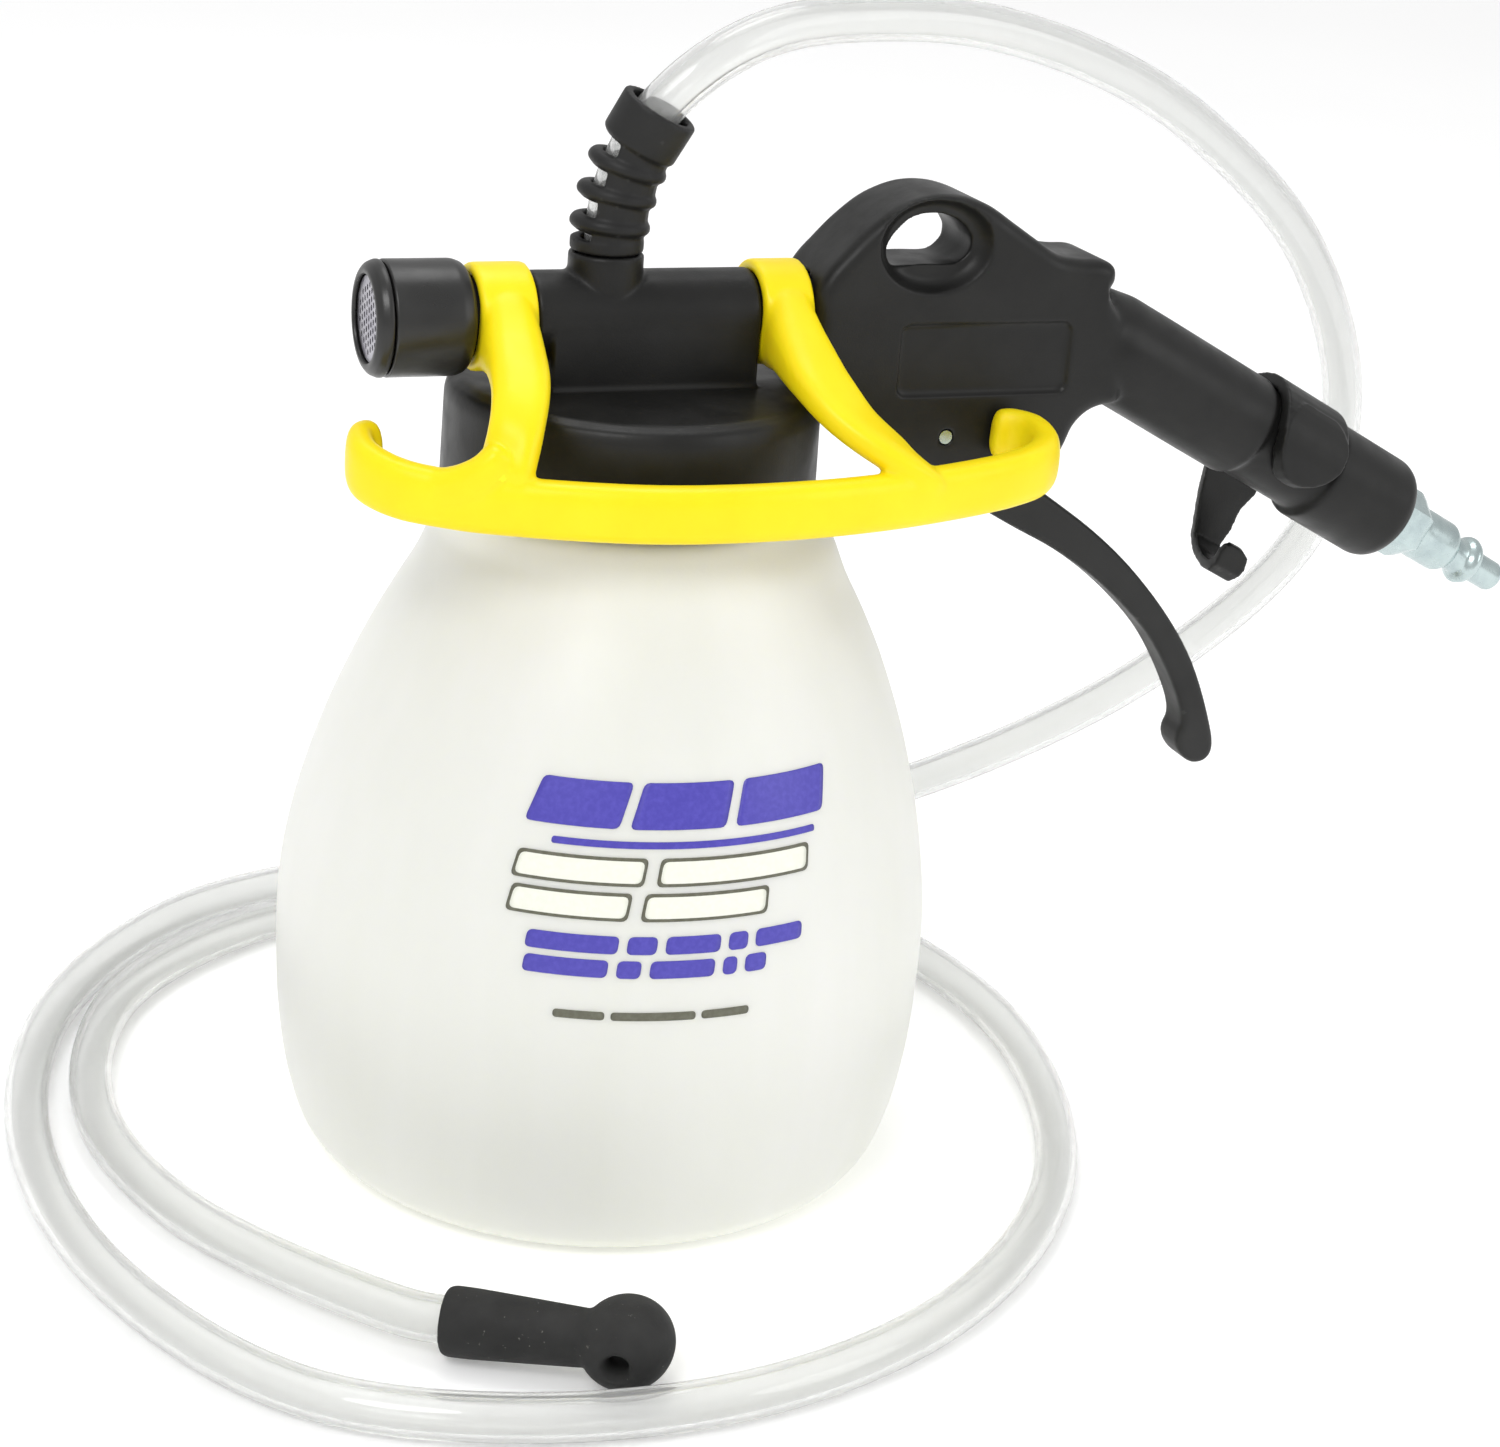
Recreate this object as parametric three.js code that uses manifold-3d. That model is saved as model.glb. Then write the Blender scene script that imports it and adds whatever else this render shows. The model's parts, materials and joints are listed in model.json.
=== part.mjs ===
// Air-driven vacuum bleeder: bottle, screw cap with a venturi tube, gun grip with a trigger, hose.
// Millimetres, +Z up. Origin at the centre of the bottle's flat base, +X along the tube to the grip.
import * as THREE from 'three';
import { mergeVertices } from 'three/addons/utils/BufferGeometryUtils.js';
import Module from 'manifold-3d';

const wasm = await Module();
wasm.setup();

// ---------------------------------------------------------------- driving dimensions
const GAP = 0.3;
const BOTTLE = { neckR: 33.5, neckTop: 164.0, segments: 30, shoulderShift: 2 };
const CAP = { r: 38.8, bottom: 148.5, top: 170.8, wall: 2.4, ceiling: 167.0 };
const TUBE_Z = 184.5;
const TUBE = { r: 9.15, journalR: 7.9, left: -46, stepLeft: -24, stepRight: 23.6, right: 50 };
const PORT_X = -7.7;
const BOSS = { r: 7.7, top: 197.5, floor: 189.6, boreR: 6.3 };
const MUFFLER = { r: 11.7, rear: -36.9, seam: -53.9, front: -57.5 };
const COLLAR = { boreR: 8.15, r: 10.9, left: [-36.3, -24.4], right: [23.9, 35.0] };
const HEAD_X = 35.5;
const HALF_HEAD = 11;
const GRIP_TILT = THREE.MathUtils.degToRad(118);
const GRIP_AT = new THREE.Vector3(150, 0, 154.1);
const GRIP = { r: 11.8, neckR: 10.8, sleeveR: 12.3, start: -54, neck: [-3.6, 17], end: 43 };
const PIVOT = new THREE.Vector3(67.2, 0, 159.1);
const TRIGGER = { half: 4.6, slotHalf: 5.0, hubR: 5, pinR: 1.5, camAt: 12, camR: 3 };
const TRIGGER_TRAVEL = THREE.MathUtils.degToRad(22);
const LATCH_REST = THREE.MathUtils.degToRad(15);
const WEB = { from: -123, step: 30, inner: 6.1, outer: 7.2, length: 4.4 };
const HOSE = { r: 4.75, boreR: 3.65, steps: 74, fineStart: [12, 66], fineEnd: [3, 27] };
const HOSE_END = new THREE.Vector3(-58.8, -84.6, 7.4);
const SLEEVE_END = new THREE.Vector3(-34.7, -99.6, 8.6);

// ---------------------------------------------------------------- helpers
const clean = (geometry) => {
  const flat = geometry.clone();
  flat.deleteAttribute('normal');
  flat.deleteAttribute('uv');
  const merged = mergeVertices(flat, 1e-4);
  const source = merged.index.array;
  const kept = [];
  for (let i = 0; i < source.length; i += 3) {
    const [a, b, c] = [source[i], source[i + 1], source[i + 2]];
    if (a !== b && b !== c && a !== c) kept.push(a, b, c);
  }
  merged.setIndex(kept);
  return merged;
};

const signedVolume = (geometry) => {
  const p = geometry.attributes.position;
  const index = geometry.index.array;
  const corners = [new THREE.Vector3(), new THREE.Vector3(), new THREE.Vector3()];
  let total = 0;
  for (let i = 0; i < index.length; i += 3) {
    corners.forEach((corner, k) => corner.fromBufferAttribute(p, index[i + k]));
    total += corners[0].dot(corners[1].clone().cross(corners[2])) / 6;
  }
  return total;
};

const faceOutward = (geometry) => {
  const merged = clean(geometry);
  if (signedVolume(merged) < 0) {
    const index = merged.index.array;
    for (let i = 0; i < index.length; i += 3) {
      [index[i], index[i + 1]] = [index[i + 1], index[i]];
    }
  }
  return merged;
};

const solid = (geometry) => {
  const merged = faceOutward(geometry);
  const mesh = new wasm.Mesh({
    numProp: 3,
    vertProperties: new Float32Array(merged.attributes.position.array),
    triVerts: new Uint32Array(merged.index.array),
  });
  return new wasm.Manifold(mesh);
};

const geometryOf = (manifold) => {
  const mesh = manifold.getMesh();
  const geometry = new THREE.BufferGeometry();
  geometry.setAttribute('position', new THREE.Float32BufferAttribute(mesh.vertProperties, 3));
  geometry.setIndex(Array.from(mesh.triVerts));
  geometry.computeVertexNormals();
  return geometry;
};

const unite = (parts) => parts.reduce((sum, part) => sum.add(part));
const cut = (body, tools) => tools.reduce((rest, tool) => rest.subtract(tool), body);

// A profile of [radius, height] turned about +Z. It starts and ends on the axis, or closes.
const lathe = (profile, segments = 24) => {
  const points = profile.map(([r, z]) => new THREE.Vector2(r, z));
  return new THREE.LatheGeometry(points, segments).rotateX(Math.PI / 2);
};

const ring = (inner, outer, low, high, segments = 24) =>
  lathe([[inner, low], [outer, low], [outer, high], [inner, high], [inner, low]], segments);

const rod = (r, low, high, segments = 16) =>
  lathe([[0, low], [r, low], [r, high], [0, high]], segments);

const alongX = (geometry) => geometry.rotateY(Math.PI / 2);
const alongGrip = (geometry) =>
  geometry.rotateY(GRIP_TILT).translate(GRIP_AT.x, GRIP_AT.y, GRIP_AT.z);
const alongValve = (geometry) =>
  geometry.translate(PIVOT.x + TRIGGER.camAt, 0, PIVOT.z);

// A rod from one point to another.
const rodBetween = (from, to, r, segments = 14) => {
  const direction = to.clone().sub(from);
  const turn = new THREE.Quaternion().setFromUnitVectors(
    new THREE.Vector3(0, 0, 1), direction.clone().normalize());
  return rod(r, 0, direction.length(), segments).applyQuaternion(turn)
    .translate(from.x, from.y, from.z);
};

const orient = (geometry, at, direction) => {
  const turn = new THREE.Quaternion().setFromUnitVectors(
    new THREE.Vector3(0, 0, 1), direction.clone().normalize());
  return geometry.applyQuaternion(turn).translate(at.x, at.y, at.z);
};

const shapeOf = (outline) => new THREE.Shape(outline.map(([a, b]) => new THREE.Vector2(a, b)));

// An outline in X and Z made into a plate between two Y values, with rounded edges.
const plate = (outline, low, high, round = 0, roundSteps = 1) => {
  const options = {
    depth: high - low - 2 * round,
    bevelEnabled: round > 0,
    bevelThickness: round,
    bevelSize: round,
    bevelOffset: -round,
    bevelSegments: roundSteps,
  };
  return new THREE.ExtrudeGeometry(shapeOf(outline), options)
    .rotateX(Math.PI / 2).translate(0, high - round, 0);
};

// A strap swept along points, its section kept upright. Each station is [x, y, z, width, height].
const strap = (stations, steps, corner = 0.3) => {
  const path = new THREE.CatmullRomCurve3(stations.map(([x, y, z]) => new THREE.Vector3(x, y, z)));
  const sizes = new THREE.CatmullRomCurve3(
    stations.map(([, , , width, height]) => new THREE.Vector3(width, height, 0)));
  const section = [
    [-1, -1 + corner], [-1 + corner, -1], [1 - corner, -1], [1, -1 + corner],
    [1, 1 - corner], [1 - corner, 1], [-1 + corner, 1], [-1, 1 - corner],
  ];
  const up = new THREE.Vector3(0, 0, 1);
  const positions = [];
  for (let i = 0; i <= steps; i += 1) {
    const t = i / steps;
    const at = path.getPoint(t);
    const size = sizes.getPoint(t);
    const along = path.getTangent(t);
    const side = new THREE.Vector3().crossVectors(along, up).normalize();
    const rise = new THREE.Vector3().crossVectors(side, along).normalize();
    for (const [a, b] of section) {
      const corner3 = at.clone().addScaledVector(side, (a * size.x) / 2)
        .addScaledVector(rise, (b * size.y) / 2);
      positions.push(corner3.x, corner3.y, corner3.z);
    }
  }
  const count = section.length;
  const index = [];
  for (let i = 0; i < steps; i += 1) {
    for (let k = 0; k < count; k += 1) {
      const a = i * count + k;
      const b = i * count + ((k + 1) % count);
      index.push(a, b, a + count, b, b + count, a + count);
    }
  }
  for (let k = 1; k < count - 1; k += 1) {
    index.push(0, k + 1, k);
    index.push(steps * count, steps * count + k, steps * count + k + 1);
  }
  const geometry = new THREE.BufferGeometry();
  geometry.setAttribute('position', new THREE.Float32BufferAttribute(positions, 3));
  geometry.setIndex(index);
  return geometry;
};

const FINISH = {
  bottle: { color: 0xe9ead9, roughness: 0.5, metalness: 0 },
  black: { color: 0x161616, roughness: 0.55, metalness: 0 },
  yellow: { color: 0xf5dc14, roughness: 0.4, metalness: 0 },
  rubber: { color: 0x1b1b1c, roughness: 0.85, metalness: 0 },
  steel: { color: 0xb9c3c8, roughness: 0.3, metalness: 1 },
  brass: { color: 0xb79a55, roughness: 0.35, metalness: 1 },
  hose: { color: 0xdfe3e4, roughness: 0.2, metalness: 0 },
  felt: { color: 0xd8d4c8, roughness: 0.95, metalness: 0 },
  white: { color: 0xe6e6e2, roughness: 0.5, metalness: 0 },
};

const group = new THREE.Group();
const addNode = (name, body, finish) => {
  const geometry = body instanceof THREE.BufferGeometry ? faceOutward(body) : geometryOf(body);
  const mesh = new THREE.Mesh(geometry, new THREE.MeshStandardMaterial(FINISH[finish]));
  mesh.name = name;
  group.add(mesh);
};

// ---------------------------------------------------------------- bottle
const addBottle = () => {
  const outer = [
    [0, 0], [54, 0], [59.5, 1.2], [64, 5], [67.3, 14], [69.6, 28], [70.4, 45], [70, 60],
    [67.2, 77], [61.8, 96], [55, 113], [50, 123], [45.6, 131], [42.6, 138],
    [40.2, 143], [38.4, 146.4], [36, 148], [BOTTLE.neckR, 148.4], [BOTTLE.neckR, 150], [34.8, 151],
    [BOTTLE.neckR, 152], [BOTTLE.neckR, BOTTLE.neckTop],
  ];
  const inner = [
    [31.4, BOTTLE.neckTop], [31.4, 147.2], [36.2, 145.6], [40.6, 137.6], [43.8, 130.2], [53.3, 112.1],
    [60, 95.3], [65.4, 76.5], [68.2, 59.8], [68.6, 45], [67.8, 28.3],
    [65.5, 14.6], [62.4, 6.6], [58.5, 3.2], [53.5, 2.2], [0, 2.2],
  ];
  const blown = lathe([...outer, ...inner], BOTTLE.segments);
  const p = blown.attributes.position;
  for (let i = 0; i < p.count; i += 1) {
    const rise = THREE.MathUtils.smoothstep(p.getZ(i), 60, 134);
    const fall = 1 - THREE.MathUtils.smoothstep(p.getZ(i), 138, 146);
    p.setX(i, p.getX(i) + BOTTLE.shoulderShift * rise * fall);
  }
  addNode('bottle', solid(blown), 'bottle');
};

// ---------------------------------------------------------------- screw cap, block and tube in one moulding
const addCapBody = () => {
  const shell = solid(lathe([
    [0, CAP.ceiling], [CAP.r - CAP.wall, CAP.ceiling], [CAP.r - CAP.wall, CAP.bottom],
    [CAP.r + 0.3, CAP.bottom], [CAP.r, CAP.top - 3.2], [CAP.r - 1, CAP.top - 1],
    [CAP.r - 3.2, CAP.top], [0, CAP.top],
  ], 40));
  const block = solid(new THREE.BoxGeometry(44.5, 2 * TUBE.r, TUBE_Z - CAP.top + 2)
    .translate(1.35, 0, (TUBE_Z + CAP.top - 2) / 2));
  const tube = solid(alongX(lathe([
    [0, TUBE.left], [TUBE.journalR, TUBE.left], [TUBE.journalR, TUBE.stepLeft],
    [TUBE.r, TUBE.stepLeft], [TUBE.r, TUBE.stepRight], [TUBE.journalR, TUBE.stepRight],
    [TUBE.journalR, TUBE.right], [0, TUBE.right],
  ], 24)).translate(0, 0, TUBE_Z));
  const boss = solid(rod(BOSS.r, TUBE_Z, BOSS.top, 24).translate(PORT_X, 0, 0));
  const skirt = solid(ring(5.0, 7.2, 155, CAP.ceiling + 1, 20).translate(9, 0, 0));
  const bore = solid(alongX(lathe([
    [0, TUBE.left - 1], [3.4, TUBE.left - 1], [3.4, 4], [4.2, 4], [4.2, 13.6], [6, 13.6],
    [6, TUBE.right + 1], [0, TUBE.right + 1],
  ], 20)).translate(0, 0, TUBE_Z));
  const socket = solid(rod(BOSS.boreR, BOSS.floor, BOSS.top + 1, 20).translate(PORT_X, 0, 0));
  const drain = solid(rod(1.8, CAP.ceiling - 1, BOSS.floor + 1, 12).translate(PORT_X, 6.1, 0));
  const drainSocket = solid(rod(3.15, CAP.ceiling - 1, CAP.top + 1.2, 14)
    .translate(PORT_X, 6.1, 0));
  const suction = solid(rod(1.7, CAP.ceiling - 1, TUBE_Z, 12).translate(9, 0, 0));
  addNode('cap_body',
    cut(unite([shell, block, tube, boss, skirt]), [bore, socket, drain, drainSocket, suction]),
    'black');
  addNode('cap_gasket', ring(30.8, 36, BOTTLE.neckTop + GAP, CAP.ceiling - GAP, 32), 'rubber');
  addNode('drain_tube', ring(2.0, 3.0, 118, CAP.top + 0.8, 14).translate(PORT_X, 6.1, 0), 'white');
  addNode('float_cup', lathe([
    [0, 156], [4.2, 156], [4.2, 164.5], [2.5, 165.8], [0, 166],
  ], 18).translate(9, 0, 0), 'white');
  addNode('float_grate', ring(1.5, 6.9, 153.2, 154.7, 20).translate(9, 0, 0), 'black');
};

// ---------------------------------------------------------------- venturi and muffler
const addVenturi = () => {
  const atTube = (geometry) => alongX(geometry).translate(0, 0, TUBE_Z);
  addNode('venturi_nozzle', atTube(lathe([
    [1.1, 7], [2.3, 7], [2.8, 13], [2.8, 13.9], [5.7, 13.9], [5.7, 24], [4, 24], [3.2, 16],
    [1.3, 9.5], [1.1, 7],
  ], 20)), 'brass');
  addNode('diffuser', atTube(lathe([
    [1.8, 3.6], [3.1, 3.6], [3.1, -43], [2.6, -43], [1.5, -2], [1.8, 3.6],
  ], 18)), 'brass');
  addNode('muffler_body', atTube(lathe([
    [8.2, MUFFLER.rear], [9.4, MUFFLER.rear], [11, -37.9], [MUFFLER.r, -39.8],
    [MUFFLER.r, MUFFLER.seam], [10.1, MUFFLER.seam], [10.1, -47.2], [8.2, -47.2],
    [8.2, MUFFLER.rear],
  ], 26)), 'black');
  addNode('muffler_ring', atTube(lathe([
    [9.2, -50], [9.9, -50], [9.9, -54.1], [MUFFLER.r, -54.15], [MUFFLER.r, -55],
    [11, -56.5], [9.7, MUFFLER.front], [8.6, MUFFLER.front], [8.6, -56.9], [9.2, -56.9],
    [9.2, -50],
  ], 26)), 'black');
  addNode('silencer_felt', atTube(rod(9, -55.2, -47.8, 20)), 'felt');
  const disc = solid(atTube(rod(9, -56.6, -55.8, 24)));
  const holes = [];
  for (let column = -2; column <= 2; column += 1) {
    const y = column * 3.2;
    const shift = column % 2 === 0 ? 0 : 1.3;
    for (let row = -3; row <= 3; row += 1) {
      const z = row * 2.6 + shift;
      if (Math.hypot(y, z) < 7.6) {
        holes.push(solid(new THREE.BoxGeometry(4, 2.2, 1.2).translate(-56, y, TUBE_Z + z)));
      }
    }
  }
  addNode('muffler_mesh', cut(disc, holes), 'steel');
};

// ---------------------------------------------------------------- strain relief and hose barb
const addHosePort = () => {
  addNode('hose_barb', lathe([
    [1.8, 190], [5.9, 190], [5.9, 193.6], [2.3, 193.6], [2.3, 196], [2.9, 196.4], [2.3, 198.6],
    [2.9, 199], [2.3, 201.5], [1.8, 202], [1.8, 190],
  ], 16).translate(PORT_X, 0, 0), 'brass');
  const stations = [
    { at: new THREE.Vector3(-7.3, 0, 203.1), tilt: new THREE.Vector3(0.08, 0, 1) },
    { at: new THREE.Vector3(-6.2, 0, 209.1), tilt: new THREE.Vector3(0.16, -0.02, 1) },
    { at: new THREE.Vector3(-4.5, -0.5, 215), tilt: new THREE.Vector3(0.26, -0.1, 1) },
  ];
  const parts = [
    solid(ring(5.3, 6, 194.6, 199, 16).translate(PORT_X, 0, 0)),
    solid(ring(5.3, 7.6, BOSS.top + GAP, 200.4, 16).translate(PORT_X, 0, 0)),
  ];
  // The wall that joins two rings on one side only, an arc of six corners inside and out.
  const web = () => {
    const arc = (r) => [0, 1, 2, 3, 4, 5].map((k) => {
      const a = THREE.MathUtils.degToRad(WEB.from + WEB.step * k);
      return new THREE.Vector2(r * Math.cos(a), r * Math.sin(a));
    });
    const shape = new THREE.Shape([...arc(WEB.outer), ...arc(WEB.inner).reverse()]);
    return new THREE.ExtrudeGeometry(shape, { depth: WEB.length, bevelEnabled: false })
      .translate(0, 0, -WEB.length / 2);
  };
  for (const { at, tilt } of stations) {
    parts.push(solid(orient(lathe([
      [5.8, -1.5], [7.4, -1.5], [8.2, 0], [7.4, 1.5], [5.8, 1.5], [5.8, -1.5],
    ], 16), at, tilt)));
  }
  const joints = [
    [new THREE.Vector3(-7.6, 0, 200.8), stations[0].tilt],
    [new THREE.Vector3(-6.8, 0, 206.1), stations[0].tilt],
    [new THREE.Vector3(-5.4, -0.2, 212), stations[1].tilt],
    [new THREE.Vector3(-3.5, -0.9, 217.4), stations[2].tilt],
  ];
  for (const [at, tilt] of joints) parts.push(solid(orient(web(), at, tilt)));
  parts.push(solid(orient(lathe([
    [6.2, -0.3], [7, -0.3], [7.9, 0.6], [8, 8.8], [6.2, 9.1], [6.2, -0.3],
  ], 16), new THREE.Vector3(-2.8, -1.2, 219), new THREE.Vector3(3.8, -2, 8.1))));
  addNode('strain_relief', unite(parts), 'rubber');
};

// ---------------------------------------------------------------- yellow bracket that swings on the tube
const addBracket = () => {
  const collars = [COLLAR.left, COLLAR.right].map(([low, high]) => solid(alongX(lathe([
    [COLLAR.boreR, low], [COLLAR.r - 0.8, low], [COLLAR.r, low + 0.8], [COLLAR.r, high - 0.8],
    [COLLAR.r - 0.8, high], [COLLAR.boreR, high], [COLLAR.boreR, low],
  ], 20)).translate(0, 0, TUBE_Z)));
  const leftArm = solid(strap([
    [-30.3, -9, 184.5, 11.5, 6], [-31, -15, 183.2, 11.8, 6.5], [-33, -26, 177.8, 11.5, 6.5],
    [-36.2, -35, 170.5, 10.5, 6.5], [-39, -41, 161, 12, 6.5],
  ], 10));
  const rightArm = solid(strap([
    [29.4, -9, 184.5, 11, 6], [28.6, -15, 183.2, 12, 6.5], [29.6, -25, 177, 13, 6.5],
    [34.6, -34, 170, 13.4, 6.5], [42.6, -40.8, 163.8, 13.6, 6.5], [50.5, -42.6, 157.6, 12.6, 6.5],
  ], 12));
  const bar = solid(strap([
    [-56.5, -9.4, 161.8, 5, 10], [-60.4, -11.8, 161.2, 5.6, 11.4], [-61.6, -18, 159.4, 6.2, 12],
    [-57.6, -25.6, 157.8, 6.8, 11.8], [-48.5, -32.6, 157, 7.2, 11.5],
    [-34, -39.8, 156.8, 7.2, 11.5], [-12, -46.6, 156.6, 7.2, 11.5],
    [10, -48.4, 156.6, 7.2, 11.5], [34, -46, 156.6, 7.2, 11.5], [56, -40.6, 156.8, 7.2, 11.5],
    [70, -36, 157.2, 7.2, 11.5], [78.4, -31.6, 157.8, 7, 11.7], [83.1, -25.4, 158.6, 6.6, 12],
    [83.3, -18.6, 159.8, 6, 12], [80, -14.6, 160.4, 5.6, 11.4], [76.4, -14, 160.6, 5, 10],
  ], 34));
  addNode('bracket', unite([...collars, leftArm, rightArm, bar]).subtract(
    solid(alongX(rod(COLLAR.boreR, -60, 60, 20)).translate(0, 0, TUBE_Z))), 'yellow');
};

// ---------------------------------------------------------------- gun grip
const addHandle = () => {
  const outline = [
    [HEAD_X, 176.5], [HEAD_X, 192], [39.8, 196], [44.8, 202.2], [51.8, 207.6], [59, 210.2],
    [66, 210.3], [73, 208.2], [84, 201.4], [92, 196.8], [102, 196.2], [104.3, 194.6],
    [104.6, 192], [103.4, 189.2], [108.5, 181], [108.5, 164.8], [105, 164.4], [101.4, 163],
    [98.4, 160], [96.8, 156], [93.6, 150.8], [86, 147.2], [72, 148], [60, 152.6],
    [50, 159.6], [41.5, 168],
  ];
  const head = solid(plate(outline, -HALF_HEAD, HALF_HEAD, 3, 2));
  const grip = solid(alongGrip(lathe([
    [0, GRIP.start], [10.4, GRIP.start], [GRIP.r, -46], [GRIP.r, GRIP.neck[0] - 1],
    [GRIP.neckR, GRIP.neck[0]], [GRIP.neckR, GRIP.neck[1]], [GRIP.sleeveR, GRIP.neck[1] + 0.6],
    [GRIP.sleeveR, GRIP.end - 3], [11.4, GRIP.end - 0.9], [9.6, GRIP.end], [0, GRIP.end],
  ], 28)));
  const hangHole = solid(plate([
    [52, 195.9], [67.2, 195.9], [70, 198.4], [70.1, 201.4], [67.8, 204.2], [64, 206],
    [60.4, 206.4], [56, 205.4], [52.8, 202.6], [50.6, 198.6],
  ], -20, 20));
  const dish = (side) => solid(rodBetween(
    new THREE.Vector3(60, side * 4, 199.4), new THREE.Vector3(60, side * 16, 199.4), 13, 20));
  const panel = solid(plate([
    [58.4, 168.2], [93.2, 168.2], [94.6, 169.8], [94.6, 182], [93.2, 183.6], [58.4, 183.6],
    [57, 182], [57, 169.8],
  ], -20, -HALF_HEAD + 0.8));
  const slot = solid(plate([
    [60.6, 159.1], [61.4, 163], [64.4, 165.2], [84.2, 165.2], [88, 162.4],
    [95.5, 161.4], [102, 155], [108, 142], [70, 138], [62, 150],
  ], -TRIGGER.slotHalf, TRIGGER.slotHalf));
  const pinHole = solid(new THREE.CylinderGeometry(1.55, 1.55, 40, 14)
    .translate(PIVOT.x, 0, PIVOT.z));
  const tubeSocket = solid(alongX(rod(8.2, HEAD_X - 1, TUBE.right + GAP, 24))
    .translate(0, 0, TUBE_Z));
  const chamber = solid(alongValve(rod(4.6, 6, 31, 18)));
  const outlet = solid(rodBetween(
    new THREE.Vector3(78.5, 0, 169), new THREE.Vector3(48, 0, 184.5), 2.4, 12));
  const passage = solid(alongGrip(rod(3.2, -78, 30, 14)));
  const plugSocket = solid(alongGrip(lathe([
    [0, 25], [6.6, 25], [6.6, 39.5], [9.2, 40], [9.2, GRIP.end + 1], [0, GRIP.end + 1],
  ], 20)));
  addNode('handle_body', cut(head.add(grip), [
    hangHole, dish(-1), dish(1), panel, slot, pinHole, tubeSocket, chamber, outlet, passage,
    plugSocket,
  ]), 'black');
  addNode('trigger_pin', new THREE.CylinderGeometry(TRIGGER.pinR, TRIGGER.pinR, 21.6, 14)
    .translate(PIVOT.x, 0, PIVOT.z), 'steel');
};

const addTrigger = () => {
  const upper = [
    [69.6, 162.4], [75, 157.4], [78.7, 154.6], [86, 150], [99, 141.5], [110, 133.8],
    [120.1, 125.2], [131.7, 112.6], [139.7, 101], [146, 87], [148, 80.2],
  ];
  const tip = [[147.6, 77.6], [146, 76.1], [143.2, 75.9], [140.6, 77.4]];
  const lower = [
    [138.4, 80.4], [138, 83], [138.9, 86], [138.2, 89.5], [134, 98], [127.6, 107.6],
    [120.6, 115], [111.4, 122.8], [100.2, 130.2], [88.5, 136.4], [75, 144.2], [66, 151.2],
    [62.4, 157.6], [64.4, 163],
  ];
  const lever = solid(plate([...upper, ...tip, ...lower], -TRIGGER.half, TRIGGER.half, 1.2));
  const hub = solid(new THREE.CylinderGeometry(TRIGGER.hubR, TRIGGER.hubR, 2 * TRIGGER.half, 20)
    .translate(PIVOT.x, 0, PIVOT.z));
  const camTurn = TRIGGER_TRAVEL / 2;
  const cam = solid(new THREE.CylinderGeometry(TRIGGER.camR, TRIGGER.camR, 5, 20).translate(
    PIVOT.x + TRIGGER.camAt * Math.cos(camTurn), 0, PIVOT.z - TRIGGER.camAt * Math.sin(camTurn)));
  const hole = solid(new THREE.CylinderGeometry(1.65, 1.65, 20, 16)
    .translate(PIVOT.x, 0, PIVOT.z));
  addNode('trigger', cut(unite([lever, hub, cam]), [hole]), 'black');
};

const addValve = () => {
  addNode('valve_guide', alongValve(ring(1.9, 4.45, 6.3, 8.8, 16)), 'brass');
  addNode('valve_seat', alongValve(ring(2.6, 4.45, 12.4, 14.6, 16)), 'brass');
  addNode('valve_plunger', alongValve(lathe([
    [0, 1.05], [1.1, 1.05], [1.7, 1.7], [1.7, 16.4], [3.7, 16.4], [3.7, 18.2], [1.5, 18.2],
    [1.5, 19.4], [0, 19.4],
  ], 14)), 'steel');
  addNode('valve_washer', alongValve(ring(1.85, 3.9, 14.75, 16.2, 16)), 'rubber');
  const turns = 5;
  const coil = new THREE.CatmullRomCurve3(Array.from({ length: turns * 8 + 1 }, (_, k) => {
    const a = (k * Math.PI) / 4;
    return new THREE.Vector3(2.9 * Math.cos(a), 2.9 * Math.sin(a), 19 + (k * 10.6) / (turns * 8));
  }));
  const wire = new THREE.Shape(Array.from({ length: 5 }, (_, k) => {
    const a = (k * 2 * Math.PI) / 5;
    return new THREE.Vector2(0.38 * Math.cos(a), 0.38 * Math.sin(a));
  }));
  addNode('valve_spring', alongValve(new THREE.ExtrudeGeometry(wire,
    { steps: turns * 10, extrudePath: coil, bevelEnabled: false })), 'steel');
};

// ---------------------------------------------------------------- trigger latch, in the grip's own frame
const sector = (inner, outer, from, to, low, high, steps) => {
  const outline = [];
  for (let k = 0; k <= steps; k += 1) {
    const a = THREE.MathUtils.degToRad(from + ((to - from) * k) / steps);
    outline.push(new THREE.Vector2(outer * Math.cos(a), outer * Math.sin(a)));
  }
  for (let k = steps; k >= 0; k -= 1) {
    const a = THREE.MathUtils.degToRad(from + ((to - from) * k) / steps);
    outline.push(new THREE.Vector2(inner * Math.cos(a), inner * Math.sin(a)));
  }
  return new THREE.ExtrudeGeometry(new THREE.Shape(outline),
    { depth: high - low, bevelEnabled: false }).translate(0, 0, low);
};

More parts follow.
